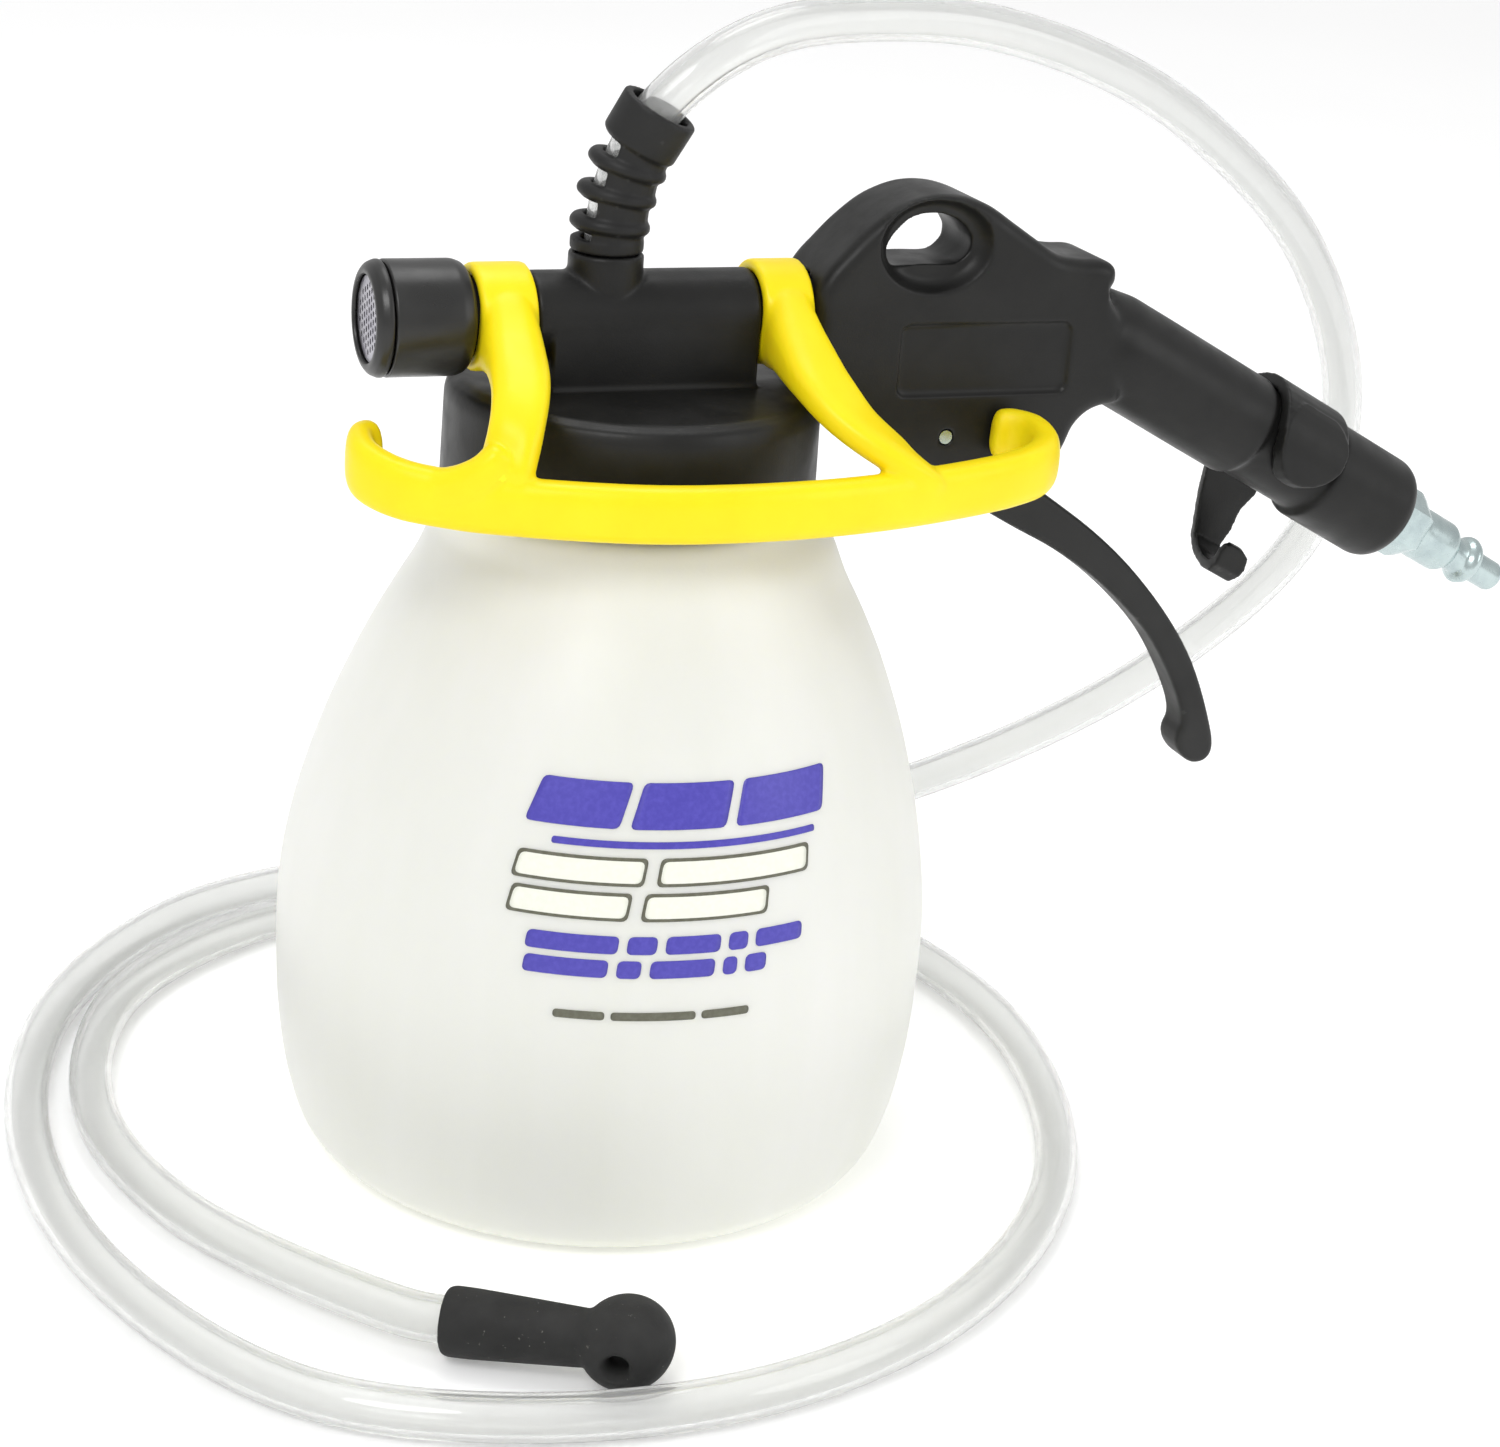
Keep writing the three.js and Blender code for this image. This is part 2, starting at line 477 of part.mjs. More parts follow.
const addLatch = () => {
  const band = solid(sector(11.2, 14, 62, 238, -3, 16.4, 16));
  const padAngle = THREE.MathUtils.degToRad(236);
  const padRegion = solid(rod(9.6, 6, 20, 24).rotateY(Math.PI / 2).rotateZ(padAngle)
    .translate(0, 0, 7));
  const pad = solid(sector(11.2, 14.6, 202, 287, -3, 16.4, 10)).intersect(padRegion);
  const arm = solid(new THREE.ExtrudeGeometry(shapeOf([
    [-2, -1], [-2, 16.4], [6, 17.5], [15.2, 21.2], [20.4, 20.7], [25.7, 22.4], [32, 23],
    [32.6, 15.7], [22.7, 9.2], [15.5, 5.2], [8, 1.5],
  ]), { depth: 2.4, bevelEnabled: false }).rotateX(Math.PI / 2).translate(0, 15, 0));
  const trough = solid(new THREE.ExtrudeGeometry(shapeOf([
    [31, 15], [33.4, 13.6], [34.6, 10.6], [34.8, 5.4], [33.6, 1.4], [30.6, -0.4], [25, -0.4],
    [25, 1.6], [29.8, 1.8], [31.6, 3.4], [32.3, 6.4], [32, 10], [30.4, 12.6],
  ]), { depth: 12, bevelEnabled: false }).translate(0, 0, 13));
  const troughSides = solid(new THREE.ExtrudeGeometry(shapeOf([
    [25, 16], [25, 19.2], [26.2, 22], [28.8, 23.2], [36, 23.2], [36, 17], [32.6, 15.7],
    [28, 14.4], [25.8, 14.6],
  ]), { depth: 20, bevelEnabled: false }).rotateX(Math.PI / 2).translate(0, 17, 0));
  const hook = trough.intersect(troughSides);
  const whole = geometryOf(unite([band, pad, arm, hook])).rotateZ(LATCH_REST);
  addNode('latch_clip', solid(alongGrip(whole)), 'black');
};

const addPlug = () => {
  const round = solid(alongGrip(lathe([
    [2.4, 27], [6.2, 27], [6.4, 29], [6.4, 40.5], [8.8, 40.6], [8.8, 50.4], [6.8, 53.2],
    [6.1, 53.4], [6.1, 63], [5.3, 64.2], [4.2, 64.4], [4.2, 68.6], [5.4, 69.6], [5.9, 70.6],
    [5.4, 72], [3.7, 73.2], [3.6, 80.4], [3.1, 81.2], [2.4, 81.2], [2.4, 27],
  ], 18)));
  const hexCut = solid(alongGrip(new THREE.CylinderGeometry(8.6, 8.6, 15, 6)
    .rotateX(Math.PI / 2).translate(0, 0, 47.5)));
  const rest = solid(alongGrip(rod(7, 20, 90, 20)));
  addNode('coupler_plug', round.intersect(unite([hexCut, rest])), 'steel');
};

// ---------------------------------------------------------------- hose and its end adapter
const HOSE_ROUTE = [
  [-7.7, 0, 194], [-7.6, 0, 201], [-6.9, 0, 208], [-5.2, -0.4, 214.5], [-2.5, -1.4, 221],
  [1.6, -2.5, 227.3], [7.6, -3, 233.2], [16, -2.2, 238.4], [27, 0, 242.2], [42, 3, 243.9],
  [74, 9, 242.6], [108, 15, 233.8], [137, 19, 219.7], [173, 24.5, 190],
  [193, 30.5, 152], [193, 38.5, 116], [166.5, 54, 78], [122, 79, 42.5], [78, 110, 17.5],
  [28, 128.5, 6.4], [-22, 130, 5], [-66, 115.5, 5], [-104, 74, 5], [-122.3, 16, 5], [-117, -47, 5],
  [-90, -97.5, 5], [-51, -117.5, 5], [-4, -120.6, 5], [43, -103.5, 5], [82, -67.5, 5],
  [103, -23, 5], [108.6, 26, 5], [93, 75, 5], [52, 106.5, 5], [-4, 113.5, 5], [-53, 103.5, 5],
  [-91, 72, 5], [-107, 20, 5], [-98, -27.5, 5], [-66, -78.5, 7],
];

// The path of the hose, with closer steps where it leaves the cap and where it enters the adapter.
class HosePath extends THREE.Curve {
  constructor(base) {
    super();
    this.base = base;
    this.length = base.getLength();
  }

  spread(u) {
    const step = u * HOSE.steps;
    const [firstSteps, firstLength] = HOSE.fineStart;
    const [lastSteps, lastLength] = HOSE.fineEnd;
    const from = HOSE.steps - lastSteps;
    const end = this.length - lastLength;
    if (step < firstSteps) return ((step / firstSteps) * firstLength) / this.length;
    if (step > from) return (end + ((step - from) / lastSteps) * lastLength) / this.length;
    return THREE.MathUtils.mapLinear(step, firstSteps, from, firstLength, end) / this.length;
  }

  getPointAt(u, target) {
    return this.base.getPointAt(this.spread(u), target);
  }

  getTangentAt(u, target) {
    return this.base.getTangentAt(this.spread(u), target);
  }
}

const addHose = () => {
  const outlet = HOSE_END.clone().lerp(SLEEVE_END, 0.35);
  const route = [...HOSE_ROUTE.map(([x, y, z]) => new THREE.Vector3(x, y, z)), HOSE_END, outlet];
  const base = new THREE.CatmullRomCurve3(route, false, 'centripetal');
  base.arcLengthDivisions = 1200;
  const circle = (r, sides) => Array.from({ length: sides }, (_, k) => {
    const a = (k * 2 * Math.PI) / sides;
    return new THREE.Vector2(r * Math.cos(a), r * Math.sin(a));
  });
  const section = new THREE.Shape(circle(HOSE.r, 8));
  section.holes.push(new THREE.Path(circle(HOSE.boreR, 6)));
  addNode('hose', new THREE.ExtrudeGeometry(section,
    { steps: HOSE.steps, extrudePath: new HosePath(base), bevelEnabled: false }), 'hose');
};

const addAdapter = () => {
  const direction = SLEEVE_END.clone().sub(HOSE_END).normalize();
  const sleeveLength = SLEEVE_END.distanceTo(HOSE_END);
  const sleeve = solid(orient(lathe([
    [0, 0], [5.9, 0], [6.9, 1.2], [6.9, 5], [5.8, sleeveLength], [0, sleeveLength],
  ], 16), HOSE_END, direction));
  const bulbAt = SLEEVE_END.clone().addScaledVector(direction, 7.7).setZ(9.1);
  const along = direction.clone().setZ(0).normalize();
  const outward = new THREE.Vector3(along.y, -along.x, 0);
  const frame = new THREE.Matrix4().makeBasis(along, outward, new THREE.Vector3(0, 0, -1));
  const bulb = solid(new THREE.SphereGeometry(1, 16, 10).scale(10.2, 10, 8.7)
    .applyMatrix4(frame.setPosition(bulbAt)));
  const hoseBore = solid(orient(rod(5.1, -1, 13, 16), HOSE_END, direction));
  const inner = solid(rodBetween(HOSE_END, bulbAt, 2.4, 12));
  const mouth = solid(rodBetween(bulbAt, bulbAt.clone().addScaledVector(outward, 14), 2.3, 14));
  addNode('hose_adapter', cut(sleeve.add(bulb), [hoseBore, inner, mouth]), 'rubber');
};

addBottle();
addCapBody();
addVenturi();
addHosePort();
addBracket();
addHandle();
addTrigger();
addValve();
addLatch();
addPlug();
addHose();
addAdapter();

export default group;
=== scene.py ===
"""Looks of the air-driven vacuum bleeder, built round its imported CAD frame. Lists are in millimetres."""
import json
import math

import bmesh
import bpy
from mathutils import Matrix, Vector


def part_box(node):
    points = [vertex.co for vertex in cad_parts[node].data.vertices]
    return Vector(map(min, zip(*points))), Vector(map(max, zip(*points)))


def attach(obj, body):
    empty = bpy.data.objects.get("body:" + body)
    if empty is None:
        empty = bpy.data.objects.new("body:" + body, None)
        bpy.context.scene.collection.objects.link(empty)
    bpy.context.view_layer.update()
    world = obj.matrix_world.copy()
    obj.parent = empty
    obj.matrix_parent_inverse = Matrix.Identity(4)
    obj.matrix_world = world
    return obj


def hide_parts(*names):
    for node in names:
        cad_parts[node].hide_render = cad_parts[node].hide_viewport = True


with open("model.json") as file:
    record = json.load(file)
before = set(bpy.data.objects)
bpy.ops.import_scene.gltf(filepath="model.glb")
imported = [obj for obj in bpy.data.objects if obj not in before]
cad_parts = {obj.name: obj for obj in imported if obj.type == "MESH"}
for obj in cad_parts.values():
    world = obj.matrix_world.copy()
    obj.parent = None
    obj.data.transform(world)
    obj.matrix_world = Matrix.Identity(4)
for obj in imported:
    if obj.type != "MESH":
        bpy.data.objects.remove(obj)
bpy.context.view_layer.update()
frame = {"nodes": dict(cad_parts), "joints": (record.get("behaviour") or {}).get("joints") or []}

MM = 0.001
X_AXIS = Vector((1, 0, 0))
Y_AXIS = Vector((0, 1, 0))
Z_AXIS = Vector((0, 0, 1))

# ---------------------------------------------------------------- places taken from the frame


def centre(node):
    low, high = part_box(node)
    return (low + high) / 2 / MM


def joint(name):
    return next(j for j in frame["joints"] if j["name"] == name)


PIVOT = Vector(joint("trigger_hinge")["pos_m"]) / MM
GRIP_AT = Vector(joint("latch_turn")["pos_m"]) / MM
GRIP_AXIS = -Vector(joint("latch_turn")["axis"]).normalized()
TUBE_Z = joint("bracket_swing")["pos_m"][2] / MM
PORT_X = centre("hose_barb").x
VALVE_X = centre("valve_guide").x
MUFFLER_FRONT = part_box("muffler_ring")[0].x / MM
MUFFLER_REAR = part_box("muffler_body")[1].x / MM
BOTTLE_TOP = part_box("bottle")[1].z / MM
CAP_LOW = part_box("cap_body")[0].z / MM
CAP_R = (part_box("cap_body")[1].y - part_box("cap_body")[0].y) / 2 / MM
HALF_HEAD = 11
TRIGGER_HALF = 4.6
TUBE_R = 9.15
JOURNAL_R = 7.9
TUBE_ENDS = (-46, 50)
TUBE_STEPS = (-24, 23.6)
BLOCK_X = 1.35
CAP_TOP = 170.8
DRAIN_Y = 6.1
FLOAT_X = 9

# ---------------------------------------------------------------- camera
CAMERA_AT = Vector((-213.9, -567.8, 328.9))
CAMERA_RIGHT = Vector((0.926, -0.370, 0.0747))
CAMERA_UP = Vector((0.0681, 0.3585, 0.9311))
CAMERA_LENS = 72.67


def make_camera():
    data = bpy.data.cameras.new("camera")
    data.lens = CAMERA_LENS
    data.sensor_width = 36
    data.clip_start = 0.01
    data.clip_end = 50
    camera = bpy.data.objects.new("camera", data)
    bpy.context.scene.collection.objects.link(camera)
    right = CAMERA_RIGHT.normalized()
    up = (CAMERA_UP - right * CAMERA_UP.dot(right)).normalized()
    back = right.cross(up)
    turn = Matrix((right, up, back)).transposed()
    camera.matrix_world = Matrix.Translation(CAMERA_AT * MM) @ turn.to_4x4()
    bpy.context.scene.camera = camera


make_camera()

# ---------------------------------------------------------------- shader helpers


class Surface:
    """A principled material with a few shortcuts for procedural detail in object space."""

    def __init__(self, name, color, roughness, **sockets):
        self.material = bpy.data.materials.new(name)
        self.material.use_nodes = True
        self.nodes = self.material.node_tree.nodes
        self.links = self.material.node_tree.links
        self.shader = self.nodes["Principled BSDF"]
        self.shader.inputs["Base Color"].default_value = (*color, 1)
        self.shader.inputs["Roughness"].default_value = roughness
        for socket, value in sockets.items():
            self.shader.inputs[socket.replace("_", " ")].default_value = value
        self.coordinates = self.nodes.new("ShaderNodeTexCoord").outputs["Object"]
        self.height = None

    def mapped(self, scale):
        node = self.nodes.new("ShaderNodeMapping")
        node.inputs["Scale"].default_value = scale
        self.links.new(self.coordinates, node.inputs["Vector"])
        return node.outputs["Vector"]

    def noise(self, scale, detail=3, stretch=(1, 1, 1)):
        """Noise whose grains are about 1/scale metres across."""
        node = self.nodes.new("ShaderNodeTexNoise")
        node.inputs["Scale"].default_value = scale
        node.inputs["Detail"].default_value = detail
        self.links.new(self.mapped(stretch), node.inputs["Vector"])
        return node.outputs["Fac"]

    def ramp(self, value, *stops):
        """Stops are (position, colour or grey)."""
        node = self.nodes.new("ShaderNodeValToRGB")
        elements = node.color_ramp.elements
        while len(elements) < len(stops):
            elements.new(0.5)
        for element, (position, tone) in zip(elements, stops):
            element.position = position
            element.color = (*tone, 1) if hasattr(tone, "__len__") else (tone, tone, tone, 1)
        self.links.new(value, node.inputs["Fac"])
        return node.outputs["Color"]

    def mix(self, factor, first, second):
        node = self.nodes.new("ShaderNodeMix")
        node.data_type = "RGBA"
        self.links.new(factor, node.inputs["Factor"])
        for socket, value in ((node.inputs[6], first), (node.inputs[7], second)):
            if hasattr(value, "__len__"):
                socket.default_value = (*value, 1)
            else:
                self.links.new(value, socket)
        return node.outputs[2]

    def paint(self, socket, value):
        self.links.new(value, self.shader.inputs[socket])
        return self

    def bump(self, value, distance, strength=1.0):
        """Adds a height of so many metres. Later calls add to earlier ones."""
        node = self.nodes.new("ShaderNodeBump")
        node.inputs["Distance"].default_value = distance
        node.inputs["Strength"].default_value = strength
        self.links.new(value, node.inputs["Height"])
        if self.height is not None:
            self.links.new(self.height, node.inputs["Normal"])
        self.height = node.outputs["Normal"]
        self.links.new(self.height, self.shader.inputs["Normal"])
        return self

    def edges(self):
        """1 on convex edges, where the painted highlight goes, 0 elsewhere."""
        pointiness = self.nodes.new("ShaderNodeNewGeometry").outputs["Pointiness"]
        return self.ramp(pointiness, (0.53, 0), (0.62, 1))


def moulded(name, color, light, roughness, grain=2600, depth=0.00004, **sockets):
    """Injection moulded plastic: fine spark-eroded grain, cloudy gloss and paler, smoother edges, the
    paleness a painted highlight.
    """
    made = Surface(name, color, roughness, **sockets)
    cloud = made.noise(70, 4)
    tone = made.ramp(cloud, (0.32, color), (0.7, light))
    # Convex edges are painted paler than the rest: a painted highlight.
    made.paint("Base Color", made.mix(made.edges(), tone, [min(1, c * 1.5 + 0.004) for c in light]))
    low, high = roughness - 0.05, roughness + 0.07
    made.paint("Roughness", made.ramp(made.noise(160, 5), (0.35, low), (0.68, high)))
    made.bump(made.noise(grain, 2), depth, 0.55)
    made.bump(made.noise(110, 2), 0.00008, 0.35)
    return made.material


def bottle_material():
    made = Surface("blown_bottle", (0.84, 0.85, 0.74), 0.42)
    inputs = made.shader.inputs
    inputs["Subsurface Weight"].default_value = 0.55
    inputs["Subsurface Radius"].default_value = (1.0, 1.0, 0.8)
    inputs["Subsurface Scale"].default_value = 0.006
    inputs["IOR"].default_value = 1.5
    inputs["Coat Weight"].default_value = 0.08
    inputs["Coat Roughness"].default_value = 0.3
    streaks = made.noise(38, 3, (1, 1, 0.14))
    made.paint("Base Color", made.ramp(
        streaks, (0.3, (0.86, 0.87, 0.76)), (0.5, (0.88, 0.89, 0.785)), (0.72, (0.91, 0.915, 0.82))))
    made.paint("Roughness", made.ramp(made.noise(60, 4), (0.35, 0.38), (0.7, 0.5)))
    made.bump(made.noise(1500, 2), 0.00003, 0.5)
    made.bump(made.noise(34, 2, (1, 1, 0.4)), 0.0006, 0.4)
    return made.material


def hose_material():
    made = Surface("clear_hose", (0.97, 0.975, 0.965), 0.07)
    inputs = made.shader.inputs
    inputs["Transmission Weight"].default_value = 0.84
    inputs["IOR"].default_value = 1.4
    inputs["Specular IOR Level"].default_value = 0.6
    made.paint("Roughness", made.ramp(made.noise(90, 3), (0.35, 0.05), (0.7, 0.15)))
    made.bump(made.noise(60, 2), 0.0003, 0.3)
    return made.material


def rubber_material():
    made = Surface("dusty_rubber", (0.024, 0.024, 0.024), 0.78, Specular_IOR_Level=0.3)
    dust = made.ramp(made.noise(900, 4), (0.69, 0), (0.76, 0.5))
    film = made.ramp(made.noise(55, 4), (0.35, (0.019, 0.019, 0.019)), (0.75, (0.038, 0.038, 0.037)))
    made.paint("Base Color", made.mix(dust, film, (0.3, 0.29, 0.26)))
    made.paint("Roughness", made.ramp(made.noise(130, 4), (0.3, 0.66), (0.7, 0.88)))
    made.bump(made.noise(1400, 3), 0.00006, 0.7)
    made.bump(made.noise(220, 2), 0.00012, 0.4)
    return made.material


def metal_material(name, color, dark, roughness, stretch):
    made = Surface(name, color, roughness, Metallic=1.0)
    made.paint("Base Color", made.ramp(made.noise(240, 5), (0.3, dark), (0.62, color)))
    lines = made.noise(420, 3, stretch)
    made.paint("Roughness", made.ramp(lines, (0.3, roughness - 0.06), (0.7, roughness + 0.14)))
    made.bump(lines, 0.000006, 0.4)
    return made.material


def felt_material():
    made = Surface("felt", (0.09, 0.085, 0.08), 0.95)
    made.shader.inputs["Sheen Weight"].default_value = 0.3
    made.paint("Base Color", made.ramp(
        made.noise(1600, 5), (0.35, (0.035, 0.034, 0.036)), (0.7, (0.15, 0.145, 0.14))))
    made.bump(made.noise(2200, 4, (1, 3, 1)), 0.0002, 0.9)
    return made.material


def print_material(name, color, light):
    made = Surface(name, color, 0.36)
    made.paint("Base Color", made.ramp(made.noise(900, 4), (0.4, color), (0.72, light)))
    made.bump(made.noise(2400, 2), 0.00002, 0.4)
    return made.material


BLACK = moulded("black_plastic", (0.0075, 0.0075, 0.0072), (0.0125, 0.0125, 0.012), 0.4,
                Specular_IOR_Level=0.27)
SATIN = moulded("black_satin", (0.011, 0.011, 0.0107), (0.017, 0.017, 0.0165), 0.32, 1800, 0.00002,
                Specular_IOR_Level=0.5)
GREY_BLACK = moulded("black_lever", (0.012, 0.012, 0.0117), (0.018, 0.018, 0.0175), 0.43,
                     Specular_IOR_Level=0.3)
YELLOW = moulded("yellow_plastic", (0.95, 0.73, 0.004), (0.97, 0.78, 0.008), 0.36, 2200, 0.00002,
                 Subsurface_Weight=0.08, Subsurface_Scale=0.003, Specular_IOR_Level=0.28)
WHITE = moulded("white_plastic", (0.72, 0.72, 0.69), (0.8, 0.8, 0.77), 0.45)
BOTTLE = bottle_material()
CLEAR = hose_material()
RUBBER = rubber_material()
RELIEF_RUBBER = moulded("soft_black", (0.009, 0.009, 0.009), (0.015, 0.015, 0.015), 0.5,
                        Specular_IOR_Level=0.3)
ZINC = metal_material("zinc_steel", (0.50, 0.59, 0.59), (0.41, 0.49, 0.50), 0.22, (1, 1, 1))
MESH_STEEL = metal_material("mesh_steel", (0.52, 0.51, 0.55), (0.36, 0.35, 0.4), 0.34, (1, 6, 1))
BRASS = metal_material("turned_brass", (0.72, 0.55, 0.26), (0.55, 0.4, 0.17), 0.28, (6, 1, 1))
FELT = felt_material()
BLUE_INK = print_material("blue_ink", (0.065, 0.052, 0.40), (0.085, 0.07, 0.46))
GREY_INK = print_material("grey_ink", (0.11, 0.11, 0.075), (0.15, 0.15, 0.11))
PALE_INK = print_material("pale_ink", (0.84, 0.85, 0.75), (0.88, 0.89, 0.80))

# ---------------------------------------------------------------- mesh helpers


def add_piece(name, mesh, material, body, *nodes, slot=None):
    """Puts a finished mesh in the scene on its body, in place of its CAD nodes."""
    mesh.name = name
    piece = bpy.data.objects.new(name, mesh)
    bpy.context.scene.collection.objects.link(piece)
    mesh.materials.clear()
    mesh.materials.append(material)
    for polygon in mesh.polygons:
        polygon.use_smooth = True
        polygon.material_index = 0
    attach(piece, body)
    if nodes:
        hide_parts(*nodes)
    return piece


def mesh_from(points, faces):
    mesh = bpy.data.meshes.new("part")
    mesh.from_pydata([Vector(p) * MM for p in points], [], faces)
    tidy = bmesh.new()
    tidy.from_mesh(mesh)
    bmesh.ops.remove_doubles(tidy, verts=tidy.verts, dist=1e-7)
    bmesh.ops.recalc_face_normals(tidy, faces=tidy.faces)
    tidy.to_mesh(mesh)
    tidy.free()
    return mesh


def rounded(profile, radius, steps=4, closed=False):
    """A polyline in two dimensions with its corners turned into arcs."""
    points = [Vector(p) for p in profile]
    count = len(points)
    made = []
    for i, corner in enumerate(points):
        if not closed and i in (0, count - 1):
            made.append(corner)
            continue
        before = points[i - 1] - corner
        after = points[(i + 1) % count] - corner
        reach = min(radius, before.length * 0.48, after.length * 0.48)
        if reach < 1e-4:
            made.append(corner)
            continue
        start = corner + before.normalized() * reach
        end = corner + after.normalized() * reach
        for k in range(steps + 1):
            t = k / steps
            made.append(start * (1 - t) ** 2 + corner * 2 * t * (1 - t) + end * t * t)
    return made


def spline(points, per_span, closed=False):
    """Centripetal Catmull-Rom through the points, as the CAD's curves are."""
    points = [Vector(p) for p in points]
    count = len(points)
    made = []
    spans = count if closed else count - 1
    for i in range(spans):
        p1, p2 = points[i], points[(i + 1) % count]
        if closed:
            p0, p3 = points[i - 1], points[(i + 2) % count]
        else:
            p0 = points[i - 1] if i else p1 * 2 - p2
            p3 = points[i + 2] if i + 2 < count else p2 * 2 - p1
        d0, d1, d2 = (max((b - a).length ** 0.5, 1e-6) for a, b in ((p0, p1), (p1, p2), (p2, p3)))
        m1 = ((p1 - p0) / d0 - (p2 - p0) / (d0 + d1) + (p2 - p1) / d1) * d1
        m2 = ((p2 - p1) / d1 - (p3 - p1) / (d1 + d2) + (p3 - p2) / d2) * d1
        for k in range(per_span):
            t = k / per_span
            made.append(p1 * (2 * t ** 3 - 3 * t * t + 1) + m1 * (t ** 3 - 2 * t * t + t)
                        + p2 * (3 * t * t - 2 * t ** 3) + m2 * (t ** 3 - t * t))
    if not closed:
        made.append(points[-1])
    return made


def lathe(profile, segments=72, at=(0, 0, 0), axis=Z_AXIS, scale=(1, 1, 1)):
    """A profile of (radius, height) turned about the axis. It closes, or starts and ends on the axis."""
    turn = Z_AXIS.rotation_difference(Vector(axis).normalized())
    at = Vector(at)
    points, faces = [], []
    count = len(profile)
    for s in range(segments):
        a = 2 * math.pi * s / segments
        for r, h in profile:
            local = Vector((r * math.cos(a) * scale[0], r * math.sin(a) * scale[1], h * scale[2]))
            points.append(at + turn @ local)
    loop = (Vector(profile[0]) - Vector(profile[-1])).length > 1e-6 and profile[0][0] > 1e-6
    for s in range(segments):
        for k in range(count if loop else count - 1):
            a, b = s * count + k, s * count + (k + 1) % count
            c, d = ((s + 1) % segments) * count + (k + 1) % count, ((s + 1) % segments) * count + k
            faces.append((a, b, c, d))
    return mesh_from(points, faces)


def rod(r, start, end, segments=48):
    start, end = Vector(start), Vector(end)
    length = (end - start).length
    return lathe([(0, 0), (r, 0), (r, length), (0, length)], segments, start, end - start)


def plate(outline, half, edge, steps=5, centre_y=0.0):
    """A closed outline in X and Z made into a plate about a Y value, with round edges."""
    count = len(outline)
    points = [Vector(p) for p in outline]
    area = sum(points[i - 1].cross(points[i]) for i in range(count))
    sign = 1 if area > 0 else -1
    normals = []
    for i in range(count):
        along = (points[(i + 1) % count] - points[i - 1]).normalized()
        normals.append(Vector((-along.y, along.x)) * sign)
    rows = [(half - edge + edge * math.sin(a), edge - edge * math.cos(a))
            for a in (math.pi / 2 * k / steps for k in range(steps + 1))]
    rings = [(-y, inset) for y, inset in reversed(rows)] + rows
    made, faces = [], []
    for y, inset in rings:
        for point, normal in zip(points, normals):
            moved = point + normal * inset
            made.append((moved.x, centre_y + y, moved.y))
    for r in range(len(rings) - 1):
        for i in range(count):
            a, b = r * count + i, r * count + (i + 1) % count
            faces.append((a, b, b + count, a + count))
    faces.append(tuple(range(count)))
    faces.append(tuple((len(rings) - 1) * count + i for i in range(count)))
    return mesh_from(made, faces)


def linked(mesh):
    piece = bpy.data.objects.new("temporary", mesh)
    bpy.context.scene.collection.objects.link(piece)
    return piece


def baked(piece):
    """The mesh of a temporary object with its modifiers applied. The object is removed."""
    bpy.context.view_layer.update()
    graph = bpy.context.evaluated_depsgraph_get()
    mesh = bpy.data.meshes.new_from_object(piece.evaluated_get(graph))
    bpy.data.objects.remove(piece)
    return mesh


def carve(mesh, cutters):
    """The mesh less the cutters."""
    piece = linked(mesh)
    tools = [linked(cutter) for cutter in cutters]
    for tool in tools:
        modifier = piece.modifiers.new("carve", "BOOLEAN")
        modifier.operation = "DIFFERENCE"
        modifier.solver = "EXACT"
        modifier.object = tool
    made = baked(piece)
    for tool in tools:
        bpy.data.objects.remove(tool)
    return made


def joined(meshes):
    whole = bmesh.new()
    for mesh in meshes:
        whole.from_mesh(mesh)
    made = bpy.data.meshes.new("joined")
    whole.to_mesh(made)
    whole.free()
    return made


def fused(meshes, voxel, smooth):
    """Overlapping closed meshes grown together into one skin with soft edges, as a moulding has."""
    piece = linked(joined(meshes))
    skin = piece.modifiers.new("skin", "REMESH")
    skin.mode = "VOXEL"
    skin.voxel_size = voxel * MM
    soften = piece.modifiers.new("soften", "SMOOTH")
    soften.factor = 0.5
    soften.iterations = smooth
    return baked(piece)


def softened(mesh, weight, times):
    """Smooths the mesh by a weight from 0 to 1 at each place, in millimetres."""
    piece = linked(mesh)
    group = piece.vertex_groups.new(name="soft")
    for vertex in mesh.vertices:
        group.add([vertex.index], weight(vertex.co / MM), "REPLACE")
    modifier = piece.modifiers.new("soften", "SMOOTH")
    modifier.factor = 0.5
    modifier.iterations = times
    modifier.vertex_group = group.name
    return baked(piece)


def cad_copy(node):
    return frame["nodes"][node].data.copy()


def smoothed_shade(piece, angle=35):
    """Smooth shading that keeps true edges sharp."""
    piece.data.set_sharp_from_angle(angle=math.radians(angle))


# ---------------------------------------------------------------- hose, the one free cord
# The CAD's route, its outermost points drawn in a little so that the rounder tube stays in the CAD's box.
HOSE_ROUTE = [
    (-7.7, 0, 194), (-7.6, 0, 201), (-6.9, 0, 208), (-5.2, -0.4, 214.5), (-2.5, -1.4, 221),
    (1.6, -2.5, 227.3), (7.6, -3, 233.2), (16, -2.2, 238.4), (27, 0, 242.2), (42, 3, 243.88),
    (74, 9, 242.6), (108, 15, 233.8), (137, 19, 219.7), (173, 24.5, 190),
    (193, 30.5, 152), (193, 38.5, 116), (166.5, 54, 78), (122, 79, 42.5), (78, 110, 17.5),
    (28, 128.0, 6.4), (-22, 129.5, 5), (-66, 115.5, 5), (-104, 74, 5), (-122.1, 16, 5),
    (-117, -47, 5), (-90, -97.5, 5), (-51, -117.3, 5), (-4, -120.3, 5), (43, -103.5, 5),
    (82, -67.5, 5), (103, -23, 5), (108.6, 26, 5), (93, 75, 5), (52, 106.5, 5), (-4, 113.5, 5),
    (-53, 103.5, 5), (-91, 72, 5), (-107, 20, 5), (-98, -27.5, 5), (-66, -78.5, 7),
]
